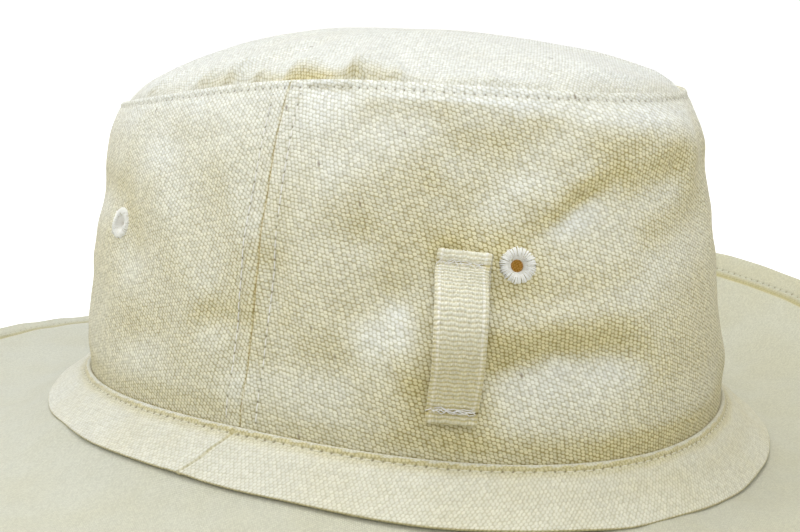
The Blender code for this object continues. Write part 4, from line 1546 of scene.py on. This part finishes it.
class CRICKETHAT_OT_inner_ring(bpy.types.Operator):
    """Sew the sloping bias strip round the crown's base"""

    bl_idname = "cricket_hat.inner_ring"
    bl_label = "Inner Ring"

    def execute(self, context):
        middle = (PERIMETER - 0.012, RING_CELL)
        turn = spaced(*JOINT_STRETCHES, middle, *JOINT_STRETCHES[::-1])
        upper_share = np.concatenate((np.linspace(0.0, 0.30, 15), np.linspace(0.30, 1.0, 20)[1:]))
        starts = [arc_angle(base_arc(RING_JOINT_ANGLE) + arc) for arc in turn]
        columns = [ring_section(arc, start, upper_share) for arc, start in zip(turn, starts)]
        angle, section, down = (np.stack(parts, axis=1) for parts in zip(*columns))
        points = around_base(angle, section[..., 0], base_height(angle) + section[..., 1])
        points[..., 2] += ripples(points, RING_RIPPLES) * smooth_step(section[..., 0] / 0.006)
        along = np.broadcast_to(turn, down.shape)
        bias = ((along + down) * BIAS_ALONG, (down - along) * BIAS_DOWN)
        bias = np.stack(bias, axis=-1) * math.sqrt(0.5)
        # Painted shade on the ring: from the lamps, over all of it, more towards the front, along
        # its row of stitches and at its top fold
        frontness = 0.5 + 0.5 * np.cos(np.radians(angle))
        painted_shade = lamp_shade(points) + RING_SHADE + RING_FRONT_SHADE * frontness
        painted_shade = painted_shade + RING_ROW_SHADE * bump_at(down - 0.0018, 0.0014)
        painted_shade = painted_shade + RING_FOLD_SHADE * bump_at(down, 0.0006)
        upper = slice(0, len(upper_share))
        sewn_row(
            "ring_stitches", points[upper], outward_of(points)[upper], down[upper], RING_ROW, turn,
            seed=8, colour=context.scene.cricket_hat_colours.canvas, warm=0.55,
        )
        piece = cloth_piece(
            "inner_ring_cloth",
            points,
            {"cloth": bias, "rows": np.stack((along, down - RING_ROW), axis=-1)},
            painted_shade=painted_shade,
            joined=True,
        )
        # The ring's canvas is the crown's canvas made darker, as painted shade
        finish = canvas_finish("ring_canvas", shade_dimming=0.91, gap_share=0.5, coarse=False)
        dress(piece, finish, "crown_canvas", "brim_inner_ring")
        return {"FINISHED"}


def brim_section(angle, flat, hem):
    """Section of the brim at one angle, from under the ring outwards and back under it: the
    points, and the distance of each over the cloth."""
    shift = float(ring_reach(angle)) - RING_REACH
    reach = RING_REACH - RING_LAP + flat + shift * (1.0 - smooth_step(flat / 0.03))
    from_edge = BRIM_REACH - reach
    swell = 0.00025 * bump_at(reach - ring_reach(angle), 0.005)
    doubled = 0.0005 * smooth_step((hem + 0.0006 - from_edge) / 0.0012)
    fold = 0.0005 * bump_at(from_edge - hem - 0.0002, 0.0006)
    groove = 0.0003 * bump_at(from_edge - hem + HEM_ROW, 0.0006)
    height = brim_height(np.full(len(reach), angle), reach) + swell + doubled - fold - groove
    line = np.stack((reach, height), axis=-1)
    thickness = BRIM_CLOTH + 0.0003 * smooth_step((hem - from_edge) / 0.0012)
    section = rolled_section(line, thickness, under=12)
    back = np.linspace(0.0, 0.07, len(section) - len(reach))
    return section, np.concatenate((reach, BRIM_REACH + back))


class CRICKETHAT_OT_outer_brim(bpy.types.Operator):
    """Sew the wide outer brim and the band that binds its edge"""

    bl_idname = "cricket_hat.outer_brim"
    bl_label = "Outer Brim"

    def execute(self, context):
        colours = context.scene.cricket_hat_colours
        sizes = context.scene.cricket_hat_sizes
        across = np.linspace(0.0, FULL_TURN, BRIM_COLUMNS)
        hem = sizes.hem_width
        inner = RING_REACH - RING_LAP
        flat = spaced(
            (RING_LAP, 0.0014),
            (BRIM_REACH - hem - 0.002 - inner - RING_LAP, 0.0015),
            (0.004, 0.0004),
            (hem - 0.002 - 0.0012, 0.0008),
        )
        columns = [brim_section(angle, flat, hem) for angle in across]
        section, reach = (np.stack(parts, axis=1) for parts in zip(*columns))
        angle = np.broadcast_to(across, reach.shape)
        points = around_base(angle, section[..., 0], section[..., 1])
        wave = ripples(points, BRIM_RIPPLES) * smooth_step((section[..., 0] - 0.018) / 0.02)
        points[..., 2] += wave
        near_ring = smooth_step((0.030 - section[..., 0]) / 0.012)
        points[..., 2] += ripples(points, RING_RIPPLES) * near_ring
        points[..., 2] -= np.minimum(points[..., 2].min(axis=0), 0.0)
        under = np.arange(len(section))[:, None] >= len(flat) + EDGE_POINTS
        cloth = points[..., :2] + np.where(under, 0.5, 0.0)[..., None]
        from_hem = reach - (BRIM_REACH - hem)
        arc = base_arc(angle)
        outer = (PERIMETER + 2.0 * math.pi * (BRIM_REACH - hem)) / PERIMETER
        rows = np.stack((arc * outer, from_hem - HEM_ROW), axis=-1)
        upper = slice(0, len(flat))
        sewn_row(
            "hem_stitches", points[upper], outward_of(points)[upper], from_hem[upper], HEM_ROW,
            arc[0] * outer, seed=9, colour=colours.brim, warm=0.4,
        )
        # Painted shade on the brim: over all of it, at the hem's fold and more towards the front;
        # the hem band also takes a warmer tone
        painted_shade = BRIM_SHADE + HEM_FOLD_SHADE * bump_at(from_hem + 0.0002, 0.0007)
        painted_shade = painted_shade + HEM_BAND_WARMTH * smooth_step(from_hem / 0.001)
        painted_shade = painted_shade + BRIM_FRONT_SHADE * np.cos(np.radians(angle))
        piece = cloth_piece(
            "outer_brim_cloth",
            points,
            {"cloth": cloth, "rows": rows},
            painted_shade=np.clip(painted_shade, 0.0, 1.0),
            joined=True,
        )
        yarn = (sizes.brim_yarn, sizes.brim_yarn, BRIM_WEAVE_DEPTH)
        finish = cloth_finish(
            "brim_canvas", colours.brim, BRIM_GAP_SHADE, *yarn, coarse=False, gap_share=0.5
        )
        dress(piece, finish, "brim_canvas", "brim_outer")
        return {"FINISHED"}


# Webbing loop

def wall_frame(angle, share):
    """A place on the crown's side: X along the oval, Y up the wall, Z out of it."""

    def wall(place_angle, place_share):
        return Vector(crown_wall(np.array(float(place_angle)), np.array(float(place_share))))

    point = wall(angle, share)
    along = wall(angle - 1.0, share) - wall(angle + 1.0, share)
    up = wall(angle, share + 0.01) - wall(angle, share - 0.01)
    out = along.cross(up).normalized()
    up = out.cross(along).normalized()
    side = up.cross(out)
    turn = Matrix((side, up, out)).transposed().to_4x4()
    return Matrix.Translation(point) @ turn


def loop_length():
    return (LOOP_TOP_SHARE - LOOP_FOOT_SHARE) * CROWN_HEIGHT


def loop_frame(down):
    """The place on the crown's side that far below the loop's top end."""
    share = down / loop_length()
    angle = blend(LOOP_TOP_ANGLE, LOOP_FOOT_ANGLE, share)
    return wall_frame(angle, blend(LOOP_TOP_SHARE, LOOP_FOOT_SHARE, share))


def on_loop(down, side, out):
    """A place on the loop: distance down from its top end, to the side, and out of the crown."""
    return loop_frame(down) @ Vector((-side, 0.0, out))


def loop_line(cell):
    """The tape's middle line, evenly spaced: distance along it, and for each point the distance
    down from the loop's top end and the distance out from the crown."""
    length = loop_length()
    fold = 0.5 * (LOOP_TAPE + LOOP_FOLD_GAP)
    inner = LOOP_SEAT_GAP + 0.5 * LOOP_TAPE
    turns = np.linspace(0.0, math.pi, 13)
    line = [(fold + LOOP_TAIL, inner)]
    line.extend((fold - fold * math.sin(t), inner + fold - fold * math.cos(t)) for t in turns)
    for share in np.linspace(0.0, 1.0, 60)[1:-1]:
        swell = LOOP_STAND_OFF * math.sin(math.pi * share**0.72) ** 2
        line.append((blend(fold, length - fold, share), inner + 2.0 * fold + swell))
    line.extend(
        (length - fold + fold * math.sin(t), inner + fold - fold * math.cos(t)) for t in turns[::-1]
    )
    line.append((length - fold - LOOP_TAIL, inner))
    line = np.array(line)
    run = lengths_along(line)
    places = np.linspace(0.0, run[-1], round(run[-1] / cell) + 1)
    return places, points_at(places, run, line)


def tape_relief(places, line, sides, pitch):
    """Relief of the tape's face and the painted shade of each place: its ribs and beads, the raised
    line beside each selvedge, and the recess and slits where its ends are sewn down. The painted
    shade darkens the valleys between the ribs, the recess, the tape's edges, its lower half and
    most of all the slits."""
    sway = 0.10 * np.sin(sides / 0.00055 + places / 0.0011)
    sway = sway + 0.08 * np.sin(sides / 0.0013 - places / 0.0019)
    phase = places / pitch + sway
    rib = np.cos(2.0 * math.pi * phase)
    count = np.floor(phase + 0.5)
    thick = 1.0 + 0.22 * np.sin(count * 2.4) * np.cos(sides / 0.0016 + count * 1.3)
    bead = np.cos(2.0 * math.pi * (sides / 0.00104 + 0.5 * np.mod(count, 2.0)))
    edge = 0.5 * LOOP_WIDTH - np.abs(sides)
    body = smooth_step((edge - 0.0010) / 0.0006)
    woven = (0.00012 * rib + 0.00019 * bead * (0.5 + 0.5 * rib) * body) * thick
    selvedge = 0.00016 * bump_at(edge - TAPE_LINE_INSET, 0.00030)
    rounded = 0.00025 * smooth_step(1.0 - edge / 0.0005)
    down = line[:, :1]
    from_end = np.minimum(down, loop_length() - down)
    number = np.arange(len(line))
    outer = ((number > 50) & (number < len(line) - 50))[:, None]
    recess = smooth_step(1.0 - (np.abs(from_end - TACK_PLACE) - 0.0007) / 0.0005) * outer
    wander = 0.00018 * np.sin(sides / 0.00090)
    slit = bump_at(from_end - 0.0025 + wander, 0.00022) * outer
    slit = slit * smooth_step(0.8 + 0.8 * np.sin(sides / 0.00125 + 0.7))
    # Painted shade over the loop's lower half
    low = smooth_step((down / loop_length() - 0.30) / 0.45)
    valley_shade = np.clip(0.5 - 0.5 * rib, 0.0, 1.0) ** 2 * 0.7
    valley_shade = valley_shade + 0.25 * recess + 0.2 * (edge < 0.0007) + 0.52 * low
    valley_shade = np.minimum(0.75 * valley_shade, 0.9) + 0.5 * slit
    return woven + selvedge - rounded - 0.00028 * recess - 0.00022 * slit, valley_shade


class CRICKETHAT_OT_webbing_loop(bpy.types.Operator):
    """Weave the ribbed tape of the loop and sew down its two folded ends"""

    bl_idname = "cricket_hat.webbing_loop"
    bl_label = "Webbing Loop"

    def execute(self, context):
        colours = context.scene.cricket_hat_colours
        sizes = context.scene.cricket_hat_sizes
        length = loop_length()
        places, line = loop_line(sizes.tape_rib / 6.0)
        sides = np.linspace(-0.5, 0.5, TAPE_COLUMNS) * LOOP_WIDTH
        frames = [loop_frame(down) for down, _ in line]
        frames = np.array([[list(row) for row in matrix] for matrix in frames])
        relief, valley_shade = tape_relief(places[:, None], line, sides[None, :], sizes.tape_rib)
        way = directions(line)
        normal = np.stack((-way[:, 1], way[:, 0]), axis=-1)
        if normal[len(line) // 2][1] < 0.0:
            normal = -normal
        outwards = 0.5 * LOOP_TAPE + relief[..., None]
        inwards = 0.5 * LOOP_TAPE - 0.0001 + relief[..., None] * 0.4
        out_side = line[:, None, :] + normal[:, None, :] * outwards
        in_side = line[:, None, :] - normal[:, None, :] * inwards
        wave = 0.00012 * np.sin(places / 0.0062)[:, None]
        wave = wave + 0.00008 * np.sin(places / 0.0023 + 1.0)[:, None]
        taper = blend(LOOP_TOP_TAPER, LOOP_FOOT_TAPER, line[:, :1] / length)

        def to_world(flat):
            shape = flat.shape[:2]
            side = np.broadcast_to(-(sides[None, :] * taper + wave), shape)
            local = np.stack((side, np.zeros(shape), flat[..., 1], np.ones(shape)), axis=-1)
            slide = flat[..., 0] - line[:, None, 0]
            world = np.einsum("rij,rcj->rci", frames, local)[..., :3]
            down = -frames[:, None, :3, 1]
            return world + down * slide[..., None]

        top = to_world(out_side)
        bottom = to_world(in_side)
        ring = np.concatenate((top, bottom[:, ::-1], top[:, :1]), axis=1)
        turned = sides[-1] + 0.0010 + (sides[-1] - sides[::-1])
        across = np.concatenate((sides, turned, [sides[-1] + 0.018]))
        cloth = np.stack(np.meshgrid(across, places), axis=-1)
        painted_shade = np.concatenate((valley_shade, valley_shade[:, ::-1], valley_shade[:, :1]), axis=1)
        piece = cloth_piece("webbing_tape", ring, {"cloth": cloth}, painted_shade=painted_shade, joined=True)
        work = bmesh.new()
        work.from_mesh(piece.data)
        bmesh.ops.holes_fill(work, edges=work.edges, sides=0)
        bmesh.ops.recalc_face_normals(work, faces=work.faces)
        work.to_mesh(piece.data)
        work.free()
        dress(piece, tape_finish("webbing_tape", colours.tape), "webbing", "webbing_loop")
        self.bar_tacks(length)
        return {"FINISHED"}

    def bar_tacks(self, length):
        """The rows and zigzags of thread that hold the loop's two ends."""
        pick = np.random.default_rng(5)
        colours = bpy.context.scene.cricket_hat_colours
        out = LOOP_SEAT_GAP + 2.0 * LOOP_TAPE + LOOP_FOLD_GAP - 0.0001
        half = 0.5 * LOOP_WIDTH * LOOP_FOOT_TAPER - 0.0008
        paths = []
        for start in (TACK_PLACE, length - TACK_PLACE):
            for layer, height in enumerate(TACK_ROWS):
                side = -half + pick.uniform(0.0, 0.0008)
                path = []
                while side < half - pick.uniform(0.0, 0.0012):
                    down = start + height + pick.normal() * 0.00022
                    lift = 0.00006 * layer + abs(pick.normal()) * 0.00010
                    path.append(on_loop(down, side, out + lift))
                    side += pick.uniform(0.0005, 0.0011)
                paths.append(path)
            side = -half
            up = True
            while side < half:
                step = pick.uniform(0.0008, 0.0024)
                reach = 0.00032 + abs(pick.normal()) * 0.00022
                high = start + (reach if up else -reach)
                low = start - (reach if up else -reach) * pick.uniform(0.2, 1.0)
                rise = pick.uniform(0.00004, 0.00022)
                path = []
                for share in np.linspace(0.0, 1.0, 5):
                    lift = rise + 0.00020 * math.sin(math.pi * share)
                    path.append(on_loop(blend(high, low, share), side + step * share, out + lift))
                paths.append(path)
                side += step * pick.uniform(0.6, 1.1)
                up = not up
        piece = thread_piece("bar_tacks", paths, TACK_THREAD)
        dress(piece, thread_finish("tack_thread", colours.tack), "thread")


# Eyelets

class CRICKETHAT_OT_eyelets(bpy.types.Operator):
    """Embroider the four air holes, strand by strand"""

    bl_idname = "cricket_hat.eyelets"
    bl_label = "Eyelets"

    def execute(self, context):
        colours = context.scene.cricket_hat_colours
        finish = thread_finish("eyelet_thread", colours.eyelet)
        for number, (name, angle, share) in enumerate(eyelet_places()):
            place = wall_frame(angle, share)
            pick = np.random.default_rng(60 + number)
            paths = []
            widths = []
            for strand in range(EYELET_STRANDS):
                turn = 2.0 * math.pi * strand / EYELET_STRANDS + pick.normal() * 0.010
                step = 0.00007 if strand % 2 else -0.00007
                outer = EYELET_RADIUS - 0.0005 + step + pick.normal() * 0.00013
                lean = pick.normal() * 0.03
                # Over the rim and through the hole: distance from its middle, and height
                section = (
                    (outer, -0.0004),
                    (outer - 0.00005, 0.0003),
                    (outer - 0.0005, 0.00080),
                    (outer - 0.0013, 0.00100 + pick.normal() * 0.00007),
                    (outer - 0.0020, 0.00065 + pick.normal() * 0.00007),
                    (EYELET_BORE + 0.0007, -0.0001),
                    (EYELET_BORE + 0.0003, -0.0007),
                    (EYELET_BORE + 0.0002, -0.0014),
                    (EYELET_BORE + 0.0004, -0.0022),
                    (EYELET_BORE + 0.0014, -0.0028),
                    (outer - 0.0020, -0.0027),
                )
                path = []
                width = []
                for radius, height in smooth_curve(section, 14):
                    swing = turn + lean * (radius - EYELET_BORE) / EYELET_RADIUS
                    around_hole = (radius * math.cos(swing), radius * math.sin(swing), height)
                    path.append(place @ Vector(around_hole))
                    width.append(max(0.92 * math.pi * radius / EYELET_STRANDS, 0.00010))
                paths.append(path)
                widths.append(width)
            piece = thread_piece(name + "_thread", paths, widths, sides=2)
            dress(piece, finish, "thread", name)
        return {"FINISHED"}


class CRICKETHAT_OT_side_stitches(bpy.types.Operator):
    """Run the rows of stitches beside the two side seams"""

    bl_idname = "cricket_hat.side_stitches"
    bl_label = "Side Stitches"

    def execute(self, context):
        colours = context.scene.cricket_hat_colours
        sizes = context.scene.cricket_hat_sizes
        pitch = sizes.stitch_pitch
        radius = sizes.thread_radius
        finish = thread_finish("side_thread", colours.thread)
        paths = []
        for ends, side in ((front_ends, 1), (front_ends, 0), (back_ends, 0), (back_ends, 1)):
            share = np.linspace(0.0, 0.955, 300)
            seam = np.asarray(ends(share)[side])
            way = -1.0 if side else 1.0
            arc = base_arc(seam) + way * SEAM_ROW / shrink(share)
            angle = arc_angle(arc)
            line = crown_wall(angle, share, 0.0002)
            beyond = crown_wall(angle, share, 0.0012)
            outward = (beyond - line) / np.linalg.norm(beyond - line, axis=1, keepdims=True)
            up = share * CROWN_HEIGHT
            paths.extend(stitch_paths(line, outward, up, pitch, radius, seed=3 + side))
        piece = thread_piece("seam_stitches", paths, radius)
        dress(piece, finish, "thread")
        return {"FINISHED"}


# Studio

class CRICKETHAT_OT_studio(bpy.types.Operator):
    """Lay the floor, hang the lights and set the camera"""

    bl_idname = "cricket_hat.studio"
    bl_label = "Studio"

    def execute(self, context):
        scene = context.scene
        self.floor(scene)
        self.lights(scene)
        self.camera(scene)
        scene.view_settings.view_transform = "Standard"
        scene.view_settings.look = "None"
        scene.view_settings.exposure = 0.0
        scene.view_settings.gamma = 1.0
        return {"FINISHED"}

    def floor(self, scene):
        work = bmesh.new()
        bmesh.ops.create_circle(work, cap_ends=True, segments=64, radius=3.0)
        mesh = bpy.data.meshes.new("studio_floor")
        work.to_mesh(mesh)
        work.free()
        floor = bpy.data.objects.new("studio_floor", mesh)
        scene.collection.objects.link(floor)
        paper, wire, shader = new_finish("studio_paper", FLOOR_PAPER)
        wire.feed(shader, {"Base Color": rgba(FLOOR_PAPER), "Roughness": 1.0})
        wire.feed(shader, {"Specular IOR Level": 0.0, "Emission Strength": 0.1})
        wire.feed(shader, {"Emission Color": (1.0, 1.0, 1.0, 1.0)})
        glow = wire.put("ShaderNodeEmission")
        glow.inputs["Strength"].default_value = 1.36
        seen = wire.math("MULTIPLY", wire.put("ShaderNodeLightPath").outputs["Is Camera Ray"], 0.75)
        mixed = wire.put("ShaderNodeMixShader")
        wire.feed(mixed, {0: seen, 1: shader.outputs[0], 2: glow.outputs[0]})
        wire.feed(paper.node_tree.nodes["Material Output"], {"Surface": mixed.outputs[0]})
        mesh.materials.append(paper)

    def lights(self, scene):
        world = bpy.data.worlds.new("studio_air")
        scene.world = world
        world.use_nodes = True
        wire = Wiring(world.node_tree)
        background = world.node_tree.nodes["Background"]
        background.inputs["Color"].default_value = (1.0, 0.99, 0.96, 1.0)
        seen = wire.put("ShaderNodeLightPath").outputs["Is Camera Ray"]
        strength = wire.span(seen, 0.0, 1.0, 0.02, 1.1, smooth=False)
        wire.feed(background, {"Strength": strength})
        target = Vector((0.0, 0.0, 0.06))
        for lamp in LAMPS:
            data = bpy.data.lights.new(lamp.name, "AREA")
            data.shape = "DISK"
            data.size = LAMP_SIZE
            data.energy = lamp.power
            shown = bpy.data.objects.new(lamp.name, data)
            shown.location = lamp.place
            shown.rotation_mode = "QUATERNION"
            shown.rotation_quaternion = (target - Vector(lamp.place)).to_track_quat("-Z", "Y")
            scene.collection.objects.link(shown)

    def camera(self, scene):
        data = bpy.data.cameras.new("camera")
        data.lens = CAMERA_LENS
        data.sensor_width = CAMERA_SENSOR
        data.clip_start = 0.01
        data.clip_end = 20.0
        camera = bpy.data.objects.new("camera", data)
        azimuth = math.radians(CAMERA_AZIMUTH)
        elevation = math.radians(CAMERA_ELEVATION)
        roll = math.radians(CAMERA_ROLL)
        back = Vector(
            (
                math.sin(azimuth) * math.cos(elevation),
                -math.cos(azimuth) * math.cos(elevation),
                math.sin(elevation),
            )
        )
        right = (-back).cross(Vector((0.0, 0.0, 1.0))).normalized()
        up = right.cross(-back)
        target = Vector((0.0, 0.0, CAMERA_TARGET_HEIGHT))
        eye = right * CAMERA_SIDEWAYS + target + back * CAMERA_DISTANCE
        right, up = (
            right * math.cos(roll) + up * math.sin(roll),
            up * math.cos(roll) - right * math.sin(roll),
        )
        turn = Matrix((right, up, back)).transposed().to_4x4()
        camera.matrix_world = Matrix.Translation(eye) @ turn
        scene.collection.objects.link(camera)
        scene.camera = camera


# Sidebar

class CRICKETHAT_PT_sidebar(bpy.types.Panel):
    """Sizes, colours and steps of the hat"""

    bl_idname = "CRICKETHAT_PT_sidebar"
    bl_label = "Cricket Hat"
    bl_space_type = "VIEW_3D"
    bl_region_type = "UI"
    bl_category = "Cricket Hat"

    def draw(self, context):
        for settings in (context.scene.cricket_hat_sizes, context.scene.cricket_hat_colours):
            box = self.layout.box()
            for key in settings.bl_rna.properties.keys():
                if key not in ("rna_type", "name"):
                    box.prop(settings, key)
        for step in STEPS:
            self.layout.operator(step.bl_idname)


STEPS = (
    CRICKETHAT_OT_crown_sides,
    CRICKETHAT_OT_crown_tip,
    CRICKETHAT_OT_inner_ring,
    CRICKETHAT_OT_outer_brim,
    CRICKETHAT_OT_webbing_loop,
    CRICKETHAT_OT_eyelets,
    CRICKETHAT_OT_side_stitches,
    CRICKETHAT_OT_studio,
)
CLASSES = (HatSizes, HatColours, *STEPS, CRICKETHAT_PT_sidebar)


def register():
    for made in CLASSES:
        bpy.utils.register_class(made)
    bpy.types.Scene.cricket_hat_sizes = bpy.props.PointerProperty(type=HatSizes)
    bpy.types.Scene.cricket_hat_colours = bpy.props.PointerProperty(type=HatColours)


def unregister():
    del bpy.types.Scene.cricket_hat_colours
    del bpy.types.Scene.cricket_hat_sizes
    for made in reversed(CLASSES):
        bpy.utils.unregister_class(made)


def main():
    register()
    for step in STEPS:
        family, action = step.bl_idname.split(".")
        getattr(getattr(bpy.ops, family), action)()


if __name__ == "__main__":
    main()
